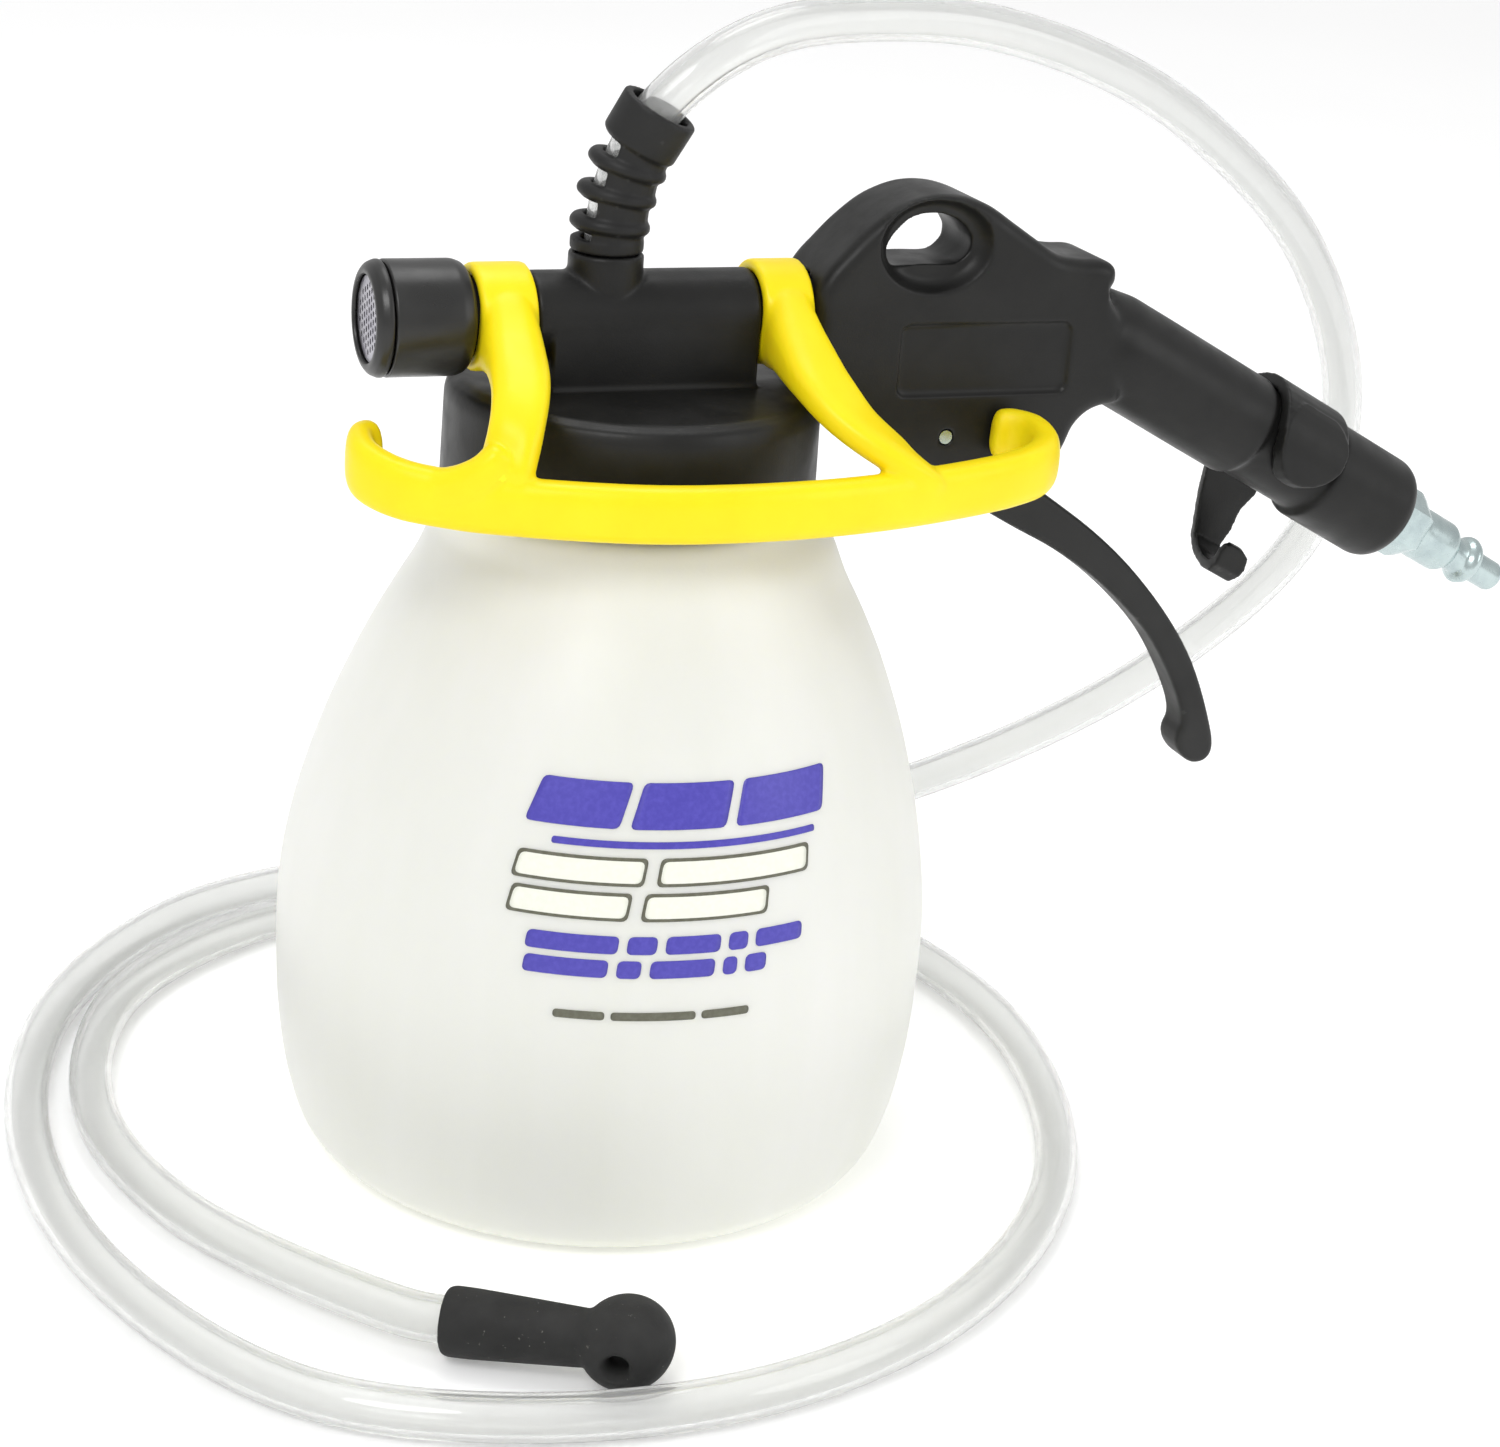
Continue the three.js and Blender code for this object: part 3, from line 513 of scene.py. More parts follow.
HOSE_END = Vector((-58.8, -84.6, 7.4))
SLEEVE_END = Vector((-34.7, -99.6, 8.6))
HOSE_R = 4.75
HOSE_BORE = 3.25


def hose_path():
    route = [*HOSE_ROUTE, HOSE_END, HOSE_END.lerp(SLEEVE_END, 0.35)]
    return spline(route, 12)


def tube_mesh(path, outer, inner, sides=28):
    """A tube with a bore along a path, its section carried along without twist."""
    normal = Vector((0, 1, 0))
    rings = []
    for i, point in enumerate(path):
        along = (path[min(i + 1, len(path) - 1)] - path[max(i - 1, 0)]).normalized()
        normal = (normal - along * normal.dot(along)).normalized()
        side = along.cross(normal)
        rings.append((point, normal, side))
    points, faces = [], []
    for radius in (outer, inner):
        for point, first, second in rings:
            for k in range(sides):
                a = 2 * math.pi * k / sides
                points.append(point + (first * math.cos(a) + second * math.sin(a)) * radius)
    count = len(rings)
    for wall in range(2):
        for i in range(count - 1):
            for k in range(sides):
                a = (wall * count + i) * sides + k
                b = (wall * count + i) * sides + (k + 1) % sides
                quad = (a, b, b + sides, a + sides)
                faces.append(quad if wall == 0 else quad[::-1])
    for i in (0, count - 1):
        for k in range(sides):
            a, b = i * sides + k, i * sides + (k + 1) % sides
            faces.append((a, b, b + count * sides, a + count * sides))
    return mesh_from(points, faces)


def make_adapter():
    """Soft rubber elbow: a sleeve over the hose and a bulb with a mouth."""
    along = (SLEEVE_END - HOSE_END).normalized()
    length = (SLEEVE_END - HOSE_END).length
    sleeve = lathe(rounded([
        (5.0, 0), (6.2, 0), (6.9, 1.2), (6.85, 6), (6.3, length * 0.6), (5.7, length), (0, length + 4),
        (0, 13), (5.0, 13),
    ], 0.7, closed=True), 72, HOSE_END, along)
    flat = Vector((along.x, along.y, 0)).normalized()
    outward = Vector((flat.y, -flat.x, 0))
    bulb_at = SLEEVE_END + along * 7.7
    bulb_at.z = 9.1
    half = 9.9
    bulb_profile = [(0, -half)] + [
        (8.9 * math.sin(math.pi * k / 24) ** 0.9, -half * math.cos(math.pi * k / 24))
        for k in range(1, 24)
    ] + [(0, half)]
    bulb = lathe(bulb_profile, 64, bulb_at, outward, (1, 1, 1))
    bulb.transform(Matrix.Translation(bulb_at * MM) @ Matrix.Diagonal((1.06, 1.06, 0.97, 1))
                   @ Matrix.Translation(-bulb_at * MM))
    skin = fused([sleeve, bulb], 0.42, 7)
    mouth = lathe(rounded([
        (0, 4), (2.1, 4), (2.1, half - 1.6), (3.4, half + 0.6), (3.4, half + 3), (0, half + 3),
    ], 0.8), 40, bulb_at, outward)
    return fused([carve(skin, [mouth])], 0.4, 3)


def make_hose():
    adapter = add_piece("rubber_adapter", make_adapter(), RUBBER, "vessel", "hose_adapter", slot="rubber")
    path = hose_path()
    hose = add_piece("clear_tubing", tube_mesh(path, HOSE_R, HOSE_BORE), CLEAR, "vessel", "hose",
                     slot="clear_hose")


make_hose()

# ---------------------------------------------------------------- bottle and its print
BOTTLE_PROFILE = [
    (54, 0), (59.5, 1.2), (64, 5), (67.3, 14), (69.6, 28), (70.4, 45), (70, 60), (67.2, 77),
    (61.8, 96), (55, 113), (50, 123), (45.6, 131), (42.6, 138), (40.2, 143), (38.4, 146.4), (36, 148),
]
SHOULDER_SHIFT = 2
WALL = 1.8


def smoothstep(value, low, high):
    t = min(1, max(0, (value - low) / (high - low)))
    return t * t * (3 - 2 * t)


def shoulder(z):
    """How far the shoulder leans towards +X at a height."""
    return SHOULDER_SHIFT * smoothstep(z, 60, 134) * (1 - smoothstep(z, 138, 146))


BOTTLE_CURVE = spline(BOTTLE_PROFILE, 8)


def bottle_radius(z):
    for low, high in zip(BOTTLE_CURVE, BOTTLE_CURVE[1:]):
        if low.y <= z <= high.y:
            return low.x + (high.x - low.x) * (z - low.y) / (high.y - low.y)
    return BOTTLE_CURVE[-1].x


def make_bottle():
    push_up = [(0, 2.4), (30, 2.2), (44, 1.4), (50, 0.3)]
    neck = rounded([(33.5, 148.5), (33.5, 150), (34.8, 151), (33.5, 152), (33.5, BOTTLE_TOP)], 0.5, 3)
    outer = [*(Vector(p) for p in push_up), *BOTTLE_CURVE, *neck]
    inner = [Vector((31.4, BOTTLE_TOP)), Vector((31.4, 147.2))]
    inner += [Vector((point.x - WALL, max(point.y, 4.2))) for point in reversed(BOTTLE_CURVE)
              if 6 < point.y < 145.5]
    inner += [Vector((58, 4.4)), Vector((50, 3.8)), Vector((0, 4.6))]
    mesh = lathe([*outer, *inner], 144)
    for vertex in mesh.vertices:
        vertex.co.x += shoulder(vertex.co.z / MM) * MM
    add_piece("bottle_shell", mesh, BOTTLE, "vessel", "bottle", slot="bottle")


# Each row is (middle height, height, sideways lean per height, [(from, to) in degrees round the bottle]).
BLUE_ROWS = [
    (100.6, 8.6, 0.27, [(-125.5, -108), (-106, -88), (-86, -66.5)]),
    (93.4, 1.3, 0.03, [(-121, -70)]),
    (74.2, 3.5, 0.1, [(-123, -107.5), (-106, -101), (-99.5, -90), (-88.5, -85), (-83.5, -74.3)]),
    (69.4, 3.5, 0.1, [(-123, -109), (-107.5, -103.5), (-102, -91), (-89.5, -87), (-85.5, -81.6)]),
]
TITLE_ROWS = [
    (88.3, 5.4, 0.15, [(-127, -103.6), (-101.4, -72)]),
    (81.6, 5.4, 0.15, [(-127, -106), (-103.8, -81)]),
]
GREY_ROWS = [(59.8, 1.7, 0.03, [(-117.4, -109), (-108, -94), (-93, -84.7)])]
TABLET_ROWS = 12
TABLET_DEPTH = 0.3


def patch(row, proud, shrink=0.0):
    """Slightly raised tablets of ink that follow the bottle, with round corners."""
    middle, height, lean, spans = row
    return [tablet(middle, height, lean, first, last, proud, shrink) for first, last in spans]


def tablet(middle, height, lean, first, last, proud, shrink):
    radius = bottle_radius(middle)
    width = math.radians(last - first) * radius
    half_w, half_h = width / 2 - shrink, height / 2 - shrink
    corners = [(-half_w, -half_h), (half_w, -half_h), (half_w, half_h), (-half_w, half_h)]
    edge = rounded(corners, min(half_h, 1.3) * 0.9, 6, closed=True)
    columns = max(6, int(width / 1.2))
    points, faces = [], []
    for side in (proud, -TABLET_DEPTH):
        for j in range(TABLET_ROWS + 1):
            v = -half_h * math.cos(math.pi * j / TABLET_ROWS)
            reach = max(abs(x) for x in row_ends(edge, v * 0.999))
            for i in range(columns + 1):
                u = reach * (2 * i / columns - 1)
                angle = math.radians((first + last) / 2) + (u + lean * v) / radius
                r = bottle_radius(middle + v) + side
                points.append((r * math.cos(angle) + shoulder(middle + v), r * math.sin(angle), middle + v))
    per = columns + 1
    back = (TABLET_ROWS + 1) * per
    for j in range(TABLET_ROWS):
        for i in range(columns):
            a = j * per + i
            faces.append((a, a + 1, a + 1 + per, a + per))
            faces.append((back + a, back + a + per, back + a + 1 + per, back + a + 1))
    rim = list(range(per)) + [j * per + columns for j in range(1, TABLET_ROWS + 1)]
    rim += [TABLET_ROWS * per + i for i in range(columns - 1, -1, -1)]
    rim += [j * per for j in range(TABLET_ROWS - 1, 0, -1)]
    for a, b in zip(rim, rim[1:] + rim[:1]):
        faces.append((a, b, b + back, a + back))
    return mesh_from(points, faces)


def row_ends(edge, v):
    """Where a closed outline crosses a height."""
    found = []
    for a, b in zip(edge, edge[1:] + edge[:1]):
        if (a.y - v) * (b.y - v) <= 0:
            t = 0 if abs(b.y - a.y) < 1e-9 else (v - a.y) / (b.y - a.y)
            found.append(a.x + (b.x - a.x) * t)
    return found


def make_print():
    sets = [
        ("print_blue", BLUE_ROWS, 0.10, 0.0, BLUE_INK),
        ("print_outline", [*TITLE_ROWS, *GREY_ROWS], 0.10, 0.0, GREY_INK),
        ("print_infill", TITLE_ROWS, 0.16, 0.62, PALE_INK),
    ]
    for name, rows, proud, shrink, ink in sets:
        tablets = [mesh for row in rows for mesh in patch(row, proud, shrink)]
        add_piece(name, joined(tablets), ink, "vessel")


make_bottle()
make_print()

# ---------------------------------------------------------------- cap, block and tube


def make_cap():
    """Screw cap, block, cross tube and hose boss in one moulding, with the passages bored after."""
    shell = lathe(rounded([
        (0, 167), (CAP_R - 2.6, 167), (CAP_R - 2.8, CAP_LOW), (CAP_R, CAP_LOW), (CAP_R - 0.3, 167.4),
        (CAP_R - 0.9, 169.2), (CAP_R - 1.5, 169.9), (CAP_R - 2.3, 170.1), (CAP_R - 3.4, CAP_TOP),
        (0, CAP_TOP),
    ], 0.8, 3), 160)
    block_half_x = 22.25
    outline = [(-TUBE_R, CAP_TOP - 2), (TUBE_R, CAP_TOP - 2)]
    outline += [(TUBE_R * math.cos(math.pi * k / 24), TUBE_Z + TUBE_R * math.sin(math.pi * k / 24))
                for k in range(25)]
    block = plate(outline, block_half_x, 0.5, 3)
    block.transform(Matrix.Translation((BLOCK_X * MM, 0, 0)) @ Matrix.Rotation(math.pi / 2, 4, "Z"))
    tube = lathe(rounded([
        (0, TUBE_ENDS[0]), (JOURNAL_R, TUBE_ENDS[0]), (JOURNAL_R, TUBE_STEPS[0]),
        (TUBE_R, TUBE_STEPS[0]), (TUBE_R, TUBE_STEPS[1]), (JOURNAL_R, TUBE_STEPS[1]),
        (JOURNAL_R, TUBE_ENDS[1]), (0, TUBE_ENDS[1]),
    ], 0.4), 72, (0, 0, TUBE_Z), X_AXIS)
    boss = lathe(rounded([
        (6.3, 189.8), (6.3, 197.5), (7.7, 197.5), (7.7, 186), (6.3, 186),
    ], 0.4, closed=True), 64, (PORT_X, 0, 0))
    skirt = lathe([(5, 155), (7.2, 155), (7.2, 168), (5, 168)], 40, (FLOAT_X, 0, 0))
    socket = rod(6.2, (PORT_X, 0, 190), (PORT_X, 0, 200))
    body = fused([carve(block, [socket]), carve(tube, [rod(5.8, (-47, 0, TUBE_Z), (-36, 0, TUBE_Z))]),
                  shell, boss, skirt], 0.5, 3)
    passages = [
        lathe([(0, -47), (3.4, -47), (3.4, 4), (4.2, 4), (4.2, 13.6), (6, 13.6), (6, 51), (0, 51)],
              48, (0, 0, TUBE_Z), X_AXIS),
        rod(6.3, (PORT_X, 0, 189.6), (PORT_X, 0, 199)),
        rod(1.8, (PORT_X, DRAIN_Y, 166), (PORT_X, DRAIN_Y, 190.6), 24),
        rod(3.2, (PORT_X, DRAIN_Y, 166), (PORT_X, DRAIN_Y, 172), 32),
    ]
    add_piece("cap_and_block", carve(body, passages), BLACK, "vessel", "cap_body", slot="black_plastic")


make_cap()

# ---------------------------------------------------------------- muffler


def make_muffler():
    at = (0, 0, TUBE_Z)
    radius = 11.7
    body = lathe(rounded([
        (8.3, MUFFLER_REAR), (9.4, MUFFLER_REAR), (11, MUFFLER_REAR - 1), (radius, MUFFLER_REAR - 2.9),
        (radius, -53.55), (radius - 0.35, -53.9), (10.1, -53.9), (10.1, -47.2), (8.3, -47.2),
    ], 0.7, 4, closed=True), 112, at, X_AXIS)
    add_piece("muffler_barrel", body, SATIN, "vessel", "muffler_body", slot="black_plastic")
    front = MUFFLER_FRONT
    cover = lathe(rounded([
        (9.2, -50), (9.9, -50), (9.9, -54.15), (radius - 0.35, -54.2), (radius, -54.5), (radius, -55.2),
        (11.1, -56.6), (9.9, front), (8.9, front), (8.7, -56.8), (9.2, -56.7),
    ], 0.5, 4, closed=True), 112, at, X_AXIS)
    add_piece("muffler_cover", cover, SATIN, "vessel", "muffler_ring", slot="black_plastic")
    make_grille()


def circle_spline(curve, r, count=64):
    ring = curve.splines.new("POLY")
    ring.points.add(count - 1)
    for k in range(count):
        a = 2 * math.pi * k / count
        ring.points[k].co = (r * math.cos(a), r * math.sin(a), 0, 1)
    ring.use_cyclic_u = True


def slot_spline(curve, x, y, length, width):
    """A slot along local Y with round ends."""
    ring = curve.splines.new("POLY")
    steps = 6
    points = []
    for end, start in ((1, 0), (-1, math.pi)):
        for k in range(steps + 1):
            a = start + math.pi * k / steps
            points.append((x + width / 2 * math.cos(a), y + end * (length - width) / 2
                           + width / 2 * math.sin(a)))
    ring.points.add(len(points) - 1)
    for point, (px, py) in zip(ring.points, points):
        point.co = (px, py, 0, 1)
    ring.use_cyclic_u = True


def make_grille():
    """A punched disc: staggered columns of small upright slots inside a solid border."""
    curve = bpy.data.curves.new("grille", "CURVE")
    curve.dimensions = "2D"
    curve.fill_mode = "BOTH"
    curve.extrude = 0.28
    circle_spline(curve, 8.62)
    pitch_across, pitch_down = 1.62, 1.7
    for column in range(-4, 5):
        shift = 0 if column % 2 == 0 else pitch_down / 2
        for row in range(-5, 6):
            y, z = column * pitch_across, row * pitch_down + shift
            if math.hypot(y, z) < 7.3:
                slot_spline(curve, y, z, 1.22, 0.86)
    mesh = baked(linked(curve))
    turn = Matrix(((0, 0, 1, 0), (1, 0, 0, 0), (0, 1, 0, 0), (0, 0, 0, 1)))
    mesh.transform(Matrix.Translation((-56.2 * MM, 0, TUBE_Z * MM)) @ turn @ Matrix.Scale(MM, 4))
    clean = bmesh.new()
    clean.from_mesh(mesh)
    bmesh.ops.remove_doubles(clean, verts=clean.verts, dist=1e-7)
    bmesh.ops.recalc_face_normals(clean, faces=clean.faces)
    clean.to_mesh(mesh)
    clean.free()
    grille = add_piece("muffler_grille", mesh, MESH_STEEL, "vessel", "muffler_mesh", slot="zinc_steel")
    smoothed_shade(grille)


make_muffler()

# ---------------------------------------------------------------- strain relief


def make_relief():
    parts = [
        lathe([(5.4, 194.6), (6, 194.6), (6, 199), (5.4, 199)], 64, (PORT_X, 0, 0)),
        lathe(rounded([
            (5.4, 197.9), (7.5, 197.9), (7.5, 200.4), (5.4, 200.4),
        ], 0.4, closed=True), 64, (PORT_X, 0, 0)),
    ]
    rings = [((-7.3, 0, 203.1), (0.08, 0, 1)), ((-6.2, 0, 209.1), (0.16, -0.02, 1)),
             ((-4.5, -0.5, 215), (0.26, -0.1, 1))]
    for at, axis in rings:
        parts.append(lathe(rounded([
            (5.5, -2.0), (6.5, -1.9), (8.2, -0.7), (8.2, 0.5), (7.4, 1.5), (5.5, 1.7),
        ], 0.5, closed=True), 72, at, axis))
    webs = [((-7.6, 0, 200.8), rings[0][1]), ((-6.8, 0, 206.1), rings[0][1]),
            ((-5.4, -0.2, 212), rings[1][1]), ((-3.5, -0.9, 217.4), rings[2][1])]
    for at, axis in webs:
        parts.append(web(at, axis))
    parts.append(lathe(rounded([
        (6.1, -0.3), (7, -0.4), (8, 0.5), (8.1, 8.6), (7.8, 9), (6.3, 9.1),
    ], 0.35, closed=True), 96, (-2.8, -1.2, 219), (3.8, -2, 8.1)))
    add_piece("strain_relief_boot", fused(parts, 0.36, 3), RELIEF_RUBBER, "vessel", "strain_relief",
              slot="rubber")


def web(at, axis, middle=-45, reach=92, length=4.6):
    """The short bridge between two rings, an arc about a middle angle in degrees."""
    turn = Z_AXIS.rotation_difference(Vector(axis).normalized())
    steps = 12
    points, faces = [], []
    for low in (-length / 2, length / 2):
        for r in (5.8, 7.3):
            for k in range(steps + 1):
                a = math.radians(middle - reach + 2 * reach * k / steps)
                points.append(Vector(at) + turn @ Vector((r * math.cos(a), r * math.sin(a), low)))
    per = steps + 1
    for k in range(steps):
        for a, b in ((0, 1), (1, 3), (3, 2), (2, 0)):
            faces.append((a * per + k, a * per + k + 1, b * per + k + 1, b * per + k))
    faces.append((0, per, 3 * per, 2 * per))
    faces.append((steps, per + steps, 3 * per + steps, 2 * per + steps))
    return mesh_from(points, faces)


make_relief()

# ---------------------------------------------------------------- yellow bracket


def strap(stations, per_span=10, corner=0.42):
    """A strap swept along stations of (x, y, z, width, height), its section kept upright."""
    path = spline([s[:3] for s in stations], per_span)
    sizes = spline([(s[3], s[4], 0) for s in stations], per_span)
    section = rounded([(-1, -1), (1, -1), (1, 1), (-1, 1)], corner * 2, 6, closed=True)
    points, faces = [], []
    for i, (at, size) in enumerate(zip(path, sizes)):
        along = (path[min(i + 1, len(path) - 1)] - path[max(i - 1, 0)]).normalized()
        side = along.cross(Z_AXIS).normalized()
        rise = side.cross(along).normalized()
        ends = min(i, len(path) - 1 - i)
        squeeze = 1 if ends > 3 else (0.55, 0.8, 0.93, 0.98)[ends]
        for a, b in section:
            points.append(at + side * (a * size.x / 2 * squeeze) + rise * (b * size.y / 2 * squeeze))
    count = len(section)
    for i in range(len(path) - 1):
        for k in range(count):
            a, b = i * count + k, i * count + (k + 1) % count
            faces.append((a, b, b + count, a + count))
    faces.append(tuple(range(count)))
    faces.append(tuple((len(path) - 1) * count + k for k in range(count)))
    return mesh_from(points, faces)


COLLAR_BORE = 8.15


def make_bracket():
    """Two collars that turn on the tube, an arm from each, and the bar that joins them."""
    collars = [lathe(rounded([
        (COLLAR_BORE, low), (10.9, low), (10.9, high), (COLLAR_BORE, high),
    ], 0.9, 4, closed=True), 96, (0, 0, TUBE_Z), X_AXIS) for low, high in ((-36.3, -24.4), (23.9, 35.0))]
    left_arm = strap([
        (-30.4, -3.5, 183.4, 11.8, 19), (-30.5, -8.6, 182, 11.8, 17), (-31.2, -16, 180, 11.8, 11.5),
        (-33, -26, 176.6, 11.5, 7.6), (-36.2, -34, 170.5, 10.8, 6.5), (-39.6, -37.7, 160.8, 12, 6.2),
    ])
    corner = strap([
        (-39.5, -37.4, 168, 6, 6), (-42.5, -37.2, 164, 6.4, 7), (-46.5, -34.8, 160.5, 6.6, 8),
        (-51, -31.2, 158, 6.8, 9),
    ])
    right_arm = strap([
        (29.5, -3.5, 183.4, 11, 19), (29.5, -8.6, 182, 11, 17), (29.4, -16, 180, 12, 11.5),
        (30.4, -25.5, 176, 13, 7.6),
        (34.6, -34, 170, 13.4, 6.5), (42.6, -40.2, 163.8, 13.2, 6.3), (51.5, -41, 157.4, 11, 5.6),
    ])
    bar = strap([
        (-56.5, -9.4, 161.8, 5, 10), (-60.4, -11.8, 161.2, 5.6, 11.4), (-61.6, -18, 159.4, 6.2, 12),
        (-57.6, -25.6, 157.8, 6.8, 11.8), (-48.5, -32.6, 157, 7.2, 11.5), (-34, -39.8, 156.8, 7.2, 11.5),
        (-12, -46.6, 156.6, 7.2, 11.5), (10, -48.4, 156.6, 7.2, 11.5), (34, -46, 156.6, 7.2, 11.5),
        (56, -40.6, 156.8, 7.2, 11.5), (70, -36, 157.2, 7.2, 11.5), (78.4, -31.6, 157.8, 7, 11.7),
        (83.1, -25.4, 158.6, 6.6, 12), (83.3, -18.6, 159.8, 6, 12), (80, -14.6, 160.4, 5.6, 11.4),
        (76.4, -14, 160.6, 5, 10),
    ])
    bore = rod(COLLAR_BORE, (-60, 0, TUBE_Z), (60, 0, TUBE_Z), 96)
    body = carve(fused([*collars, left_arm, corner, right_arm, bar], 0.55, 10), [bore])
    add_piece("yellow_bail", body, YELLOW, "bail", "bracket", slot="yellow_plastic")


make_bracket()

# ---------------------------------------------------------------- gun grip
PANEL_DEPTH = 1.0
HEAD_OUTLINE = [
    (35.5, 178), (35.5, 184), (35.5, 190.5), (37.6, 194.6), (41, 198.4), (45.6, 203), (51.8, 207.6),
    (59, 210.2), (66, 210.3), (73, 208.2), (79, 204.6), (85.4, 200.6), (90.6, 197.6), (96, 196.6),
    (101.6, 196.3), (104.2, 194.8), (104.6, 192), (103.6, 189.6), (106.2, 185), (108.5, 181),
    (108.5, 173), (108.5, 164.8), (105, 164.4), (101.4, 163), (98.4, 160), (96.8, 156), (93.6, 150.8),
    (86, 147.2), (78, 147), (69, 149), (60, 152.6), (50, 159.6), (41.5, 168), (37, 173.8),
]


def grip_lathe(profile, segments=96):
    return lathe(profile, segments, GRIP_AT, GRIP_AXIS)


def neck_weight(at):
    """1 where the grip grows out of the head, fading out round it."""
    return smoothstep(at.x, 93, 101) * (1 - smoothstep(at.x, 116, 126)) * (1 - smoothstep(at.z, 184, 189))


def make_handle():
    """Flat head with a hang hole and recessed panels, grown into a round grip."""
    head = plate(spline(HEAD_OUTLINE, 5, closed=True), HALF_HEAD, 3.0, 6)
    grip = grip_lathe(rounded([
        (0, -54), (10.4, -54), (11.8, -46), (11.8, -4.6), (10.8, -3.6), (10.8, 17), (12.3, 17.6),
        (12.3, 40), (11.4, 42.1), (9.6, 43), (9.2, 42.8), (9.2, 40), (0, 39.6),
    ], 1.0, 4))
    hole_outline = spline([
        (52, 195.9), (60, 195.7), (67.2, 195.9), (70, 198.4), (70.1, 201.4), (67.8, 204.2), (64, 206),
        (60.4, 206.4), (56, 205.4), (52.8, 202.6), (50.8, 198.8),
    ], 5, closed=True)
    hole = plate(hole_outline, 20, 0.1, 1)
    panel_outline = rounded([(54.6, 168.2), (94.6, 168.2), (94.6, 183.6), (54.6, 183.6)], 2.4, 6, closed=True)
    panel = plate(panel_outline, 5, 0.2, 2, -HALF_HEAD - 5 + PANEL_DEPTH)
    far_panel = plate(panel_outline, 5, 0.2, 2, HALF_HEAD + 5 - PANEL_DEPTH)
    slot = plate([
        (60.6, 159.1), (61.4, 163), (64.4, 165.2), (84.2, 165.2), (88, 162.4), (95.5, 161.4),
        (102, 155), (108, 142), (70, 138), (62, 150),
    ], 5, 0.2, 1)
    pin_hole = rod(1.7, (PIVOT.x, -20, PIVOT.z), (PIVOT.x, 20, PIVOT.z), 32)
    chamber = rod(4.6, (VALVE_X, 0, PIVOT.z + 4), (VALVE_X, 0, PIVOT.z + 31), 32)
    socket = rod(8.2, (30, 0, TUBE_Z), (50.3, 0, TUBE_Z))
    flares = [lathe(rounded([
        (0, 7.6), (9.2, 7.6), (10.4, 8.5), (11.4, 9.9), (12.4, 11.6), (12.8, 16), (0, 16),
    ], 2.6, 6), 72, (61, 0, 200.2), Y_AXIS * side, (1.08, 0.84, 1)) for side in (-1, 1)]
    body = carve(head, [hole, *flares, panel, far_panel, slot, pin_hole, chamber, socket])
    body = fused([body, carve(grip, [slot])], 0.5, 4)
    plug_socket = grip_lathe([(0, 25), (6.6, 25), (6.6, 39.5), (9.2, 40), (9.2, 44), (0, 44)])
    body = carve(softened(body, neck_weight, 40), [plug_socket])
    add_piece("gun_grip", body, BLACK, "vessel", "handle_body",
              slot="black_plastic")


make_handle()


def make_trigger():
    upper = [
        (69.6, 162.4), (75, 157.4), (78.7, 154.6), (86, 150), (99, 141.5), (110, 133.8),
        (120.1, 125.2), (131.7, 112.6), (139.7, 101), (146, 87), (148, 80.2),
    ]
    tip = [(147.6, 77.6), (146, 76.1), (143.2, 75.9), (140.6, 77.4)]
    lower = [
        (138.4, 80.4), (138, 83), (138.9, 86), (138.2, 89.5), (134, 98), (127.6, 107.6),
        (120.6, 115), (111.4, 122.8), (100.2, 130.2), (88.5, 136.4), (75, 144.2), (66, 151.2),
        (62.4, 157.6), (64.4, 163),
    ]
    outline = spline([*upper, *tip, *lower], 5, closed=True)
    lever = plate(outline, TRIGGER_HALF, 1.3, 5)
    hub = lathe(rounded([
        (0, -TRIGGER_HALF), (5, -TRIGGER_HALF), (5, TRIGGER_HALF), (0, TRIGGER_HALF),
    ], 0.5), 64, PIVOT, Y_AXIS)
    half_travel = math.radians(joint("trigger_hinge")["range_deg"][1] / 2)
    cam_at = PIVOT + Vector((12 * math.cos(half_travel), 0, -12 * math.sin(half_travel)))
    cam = rod(3, cam_at - Y_AXIS * 2.5, cam_at + Y_AXIS * 2.5)
    pin_hole = rod(1.65, PIVOT - Y_AXIS * 8, PIVOT + Y_AXIS * 8)
    body = fused([carve(lever, [pin_hole]), carve(hub, [pin_hole]), cam], 0.42, 4)
    add_piece("trigger_lever_arm", body, GREY_BLACK, "trigger_lever", "trigger", slot="black_plastic")


make_trigger()


def make_latch():
    body = fused([cad_copy("latch_clip")], 0.4, 6)
    add_piece("trigger_latch", body, BLACK, "latch", "latch_clip", slot="black_plastic")


make_latch()


def make_plug():
    """Turned coupler plug with a hexagon, two grooves and a hollow nose."""
    round_part = grip_lathe(rounded([
        (2.4, 27), (6.2, 27), (6.4, 29), (6.4, 50.2), (6.1, 53.4), (6.1, 62.6), (5.3, 64.2),
        (4.2, 64.6), (4.2, 68.4), (5.4, 69.6), (5.9, 70.6), (5.4, 72), (3.7, 73.2), (3.6, 80.4),
        (3.1, 81.2), (2.4, 81.2),
    ], 0.45, 4, closed=True), 96)
    hexagon = lathe(rounded([
        (3, 40.7), (8.5, 40.7), (8.5, 50.2), (7.4, 52.4), (3, 52.6),
    ], 0.5, 3, closed=True), 6, GRIP_AT, GRIP_AXIS)
    piece = linked(joined([hexagon]))
    modifier = piece.modifiers.new("edges", "BEVEL")
    modifier.width = 0.25 * MM
    modifier.segments = 3
    plug = add_piece("coupler_nipple", joined([round_part, baked(piece)]), ZINC, "vessel", "coupler_plug",
                     slot="zinc_steel")
    smoothed_shade(plug, 40)


make_plug()

# ---------------------------------------------------------------- CAD nodes that stay as they are


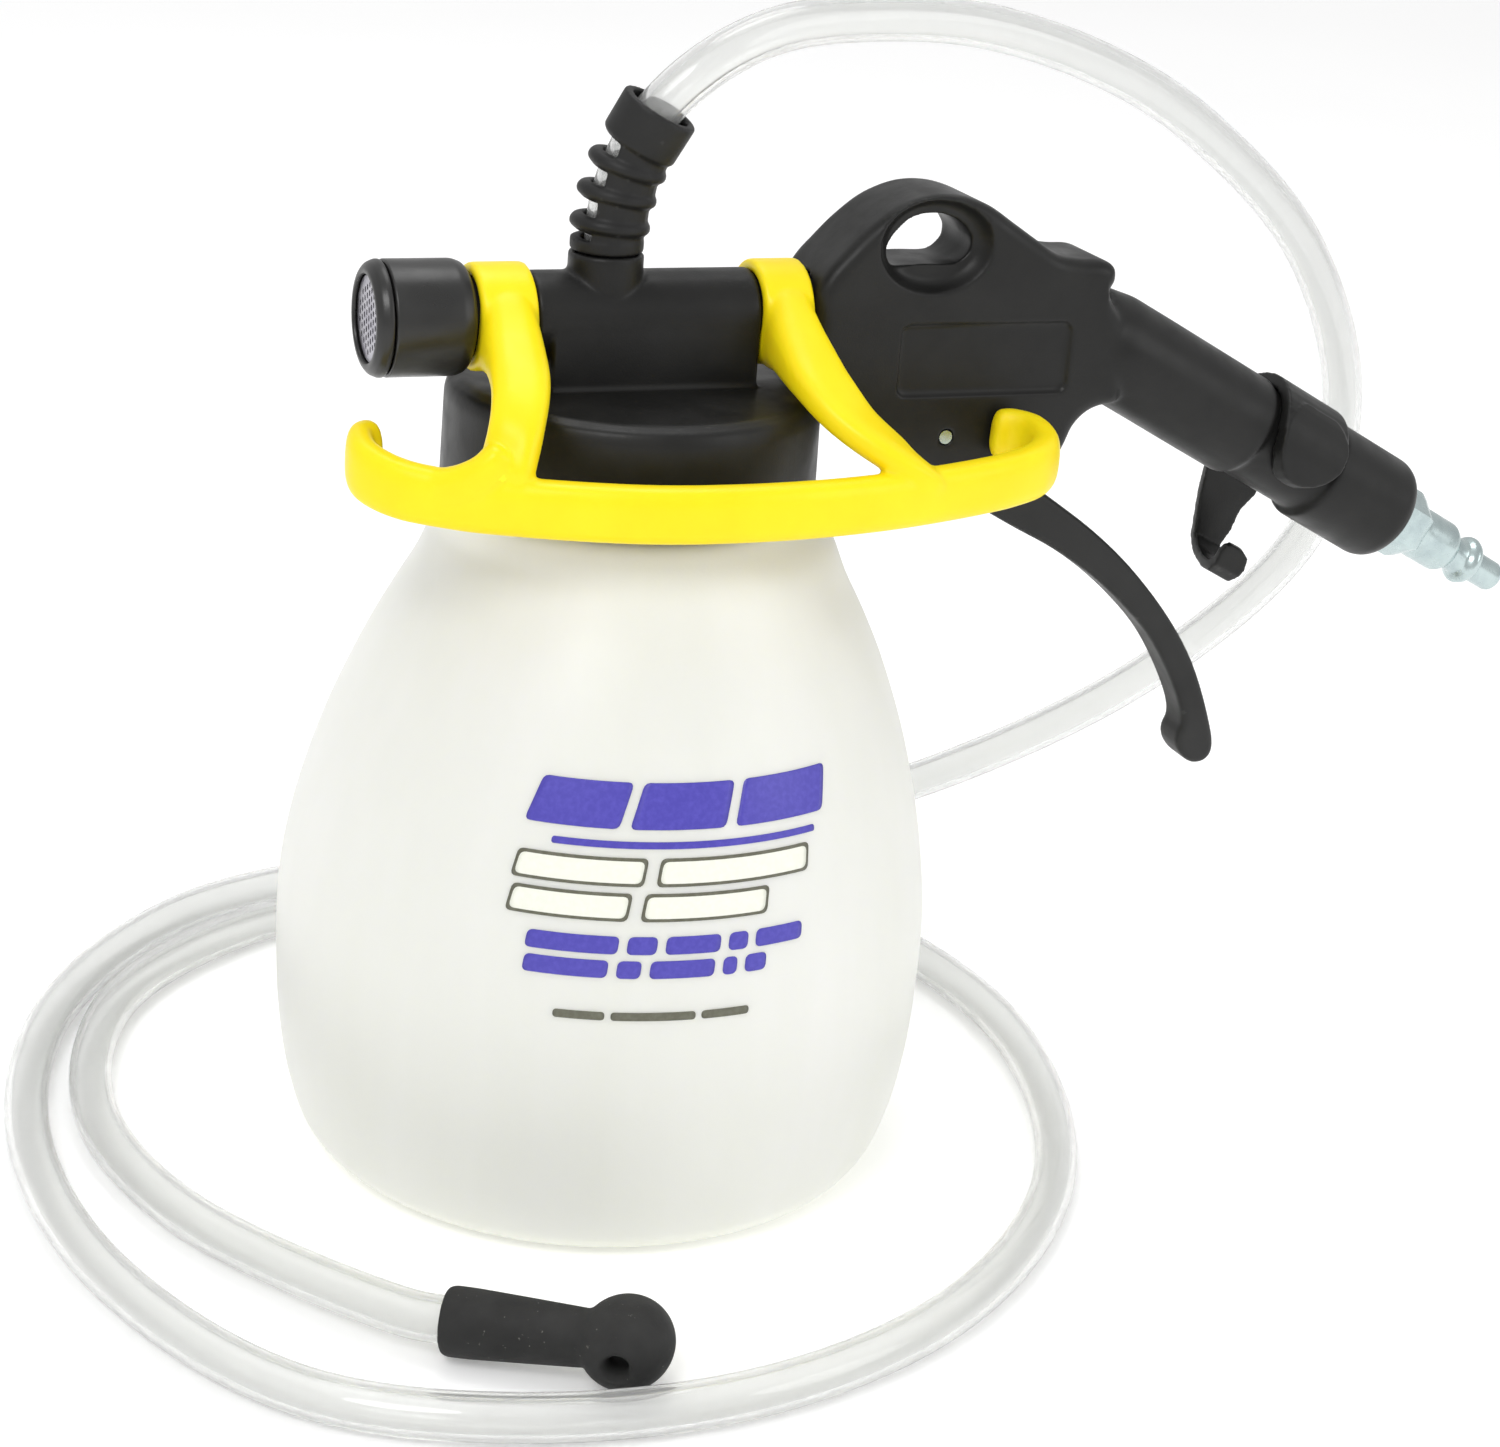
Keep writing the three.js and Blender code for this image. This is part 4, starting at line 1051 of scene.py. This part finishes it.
def finish_node(node, material, bevel=0.0):
    piece = frame["nodes"][node]
    for slot in piece.material_slots:
        slot.material = material
    if bevel:
        modifier = piece.modifiers.new("edges", "BEVEL")
        modifier.width = bevel * MM
        modifier.segments = 2
        modifier.limit_method = "ANGLE"
        modifier.angle_limit = math.radians(50)


def finish_nodes():
    for node in ("venturi_nozzle", "diffuser", "hose_barb", "valve_guide", "valve_seat"):
        finish_node(node, BRASS)
    for node in ("valve_plunger", "valve_spring"):
        finish_node(node, ZINC)
    finish_node("trigger_pin", ZINC, 0.25)
    for node in ("cap_gasket", "valve_washer"):
        finish_node(node, RUBBER)
    for node in ("drain_tube", "float_cup"):
        finish_node(node, WHITE)
    finish_node("float_grate", BLACK)
    finish_node("silencer_felt", FELT)


finish_nodes()

# ---------------------------------------------------------------- floor and light


FLOOR_GLOW = 0.24
FLOOR_HALF = 12.0
WORLD_LIGHT = 0.72


def make_stage():
    made = Surface("studio_floor", (0.93, 0.93, 0.925), 0.6)
    made.paint("Base Color", made.ramp(made.noise(3, 2), (0.3, 0.92), (0.7, 0.94)))
    made.shader.inputs["Emission Color"].default_value = (1, 1, 1, 1)
    made.shader.inputs["Emission Strength"].default_value = FLOOR_GLOW
    mesh = bpy.data.meshes.new("floor")
    corners = [(x * FLOOR_HALF, y * FLOOR_HALF, 0) for x, y in ((-1, -1), (1, -1), (1, 1), (-1, 1))]
    mesh.from_pydata(corners, [], [(0, 1, 2, 3)])
    floor = bpy.data.objects.new("floor", mesh)
    floor.location.z = -0.0002
    floor.data.materials.append(made.material)
    bpy.context.scene.collection.objects.link(floor)


def area_light(name, at, target, size, power):
    data = bpy.data.lights.new(name, "AREA")
    data.shape = "DISK"
    data.size = size
    data.energy = power
    light = bpy.data.objects.new(name, data)
    bpy.context.scene.collection.objects.link(light)
    light.location = at
    light.rotation_mode = "QUATERNION"
    light.rotation_quaternion = (Vector(target) - Vector(at)).to_track_quat("-Z", "Y")


def make_light():
    world = bpy.data.worlds.new("studio")
    bpy.context.scene.world = world
    world.use_nodes = True
    background = world.node_tree.nodes["Background"]
    background.inputs["Color"].default_value = (1, 1, 1, 1)
    background.inputs["Strength"].default_value = WORLD_LIGHT
    target = (0.02, 0, 0.12)
    area_light("key", (-0.75, -0.85, 1.25), target, 0.7, 7.6)
    area_light("fill", (0.95, -0.9, 0.65), target, 0.8, 2.6)
    area_light("top", (0.1, 0.35, 1.4), target, 0.8, 4.6)
    bpy.context.scene.view_settings.view_transform = "Standard"


make_stage()
make_light()
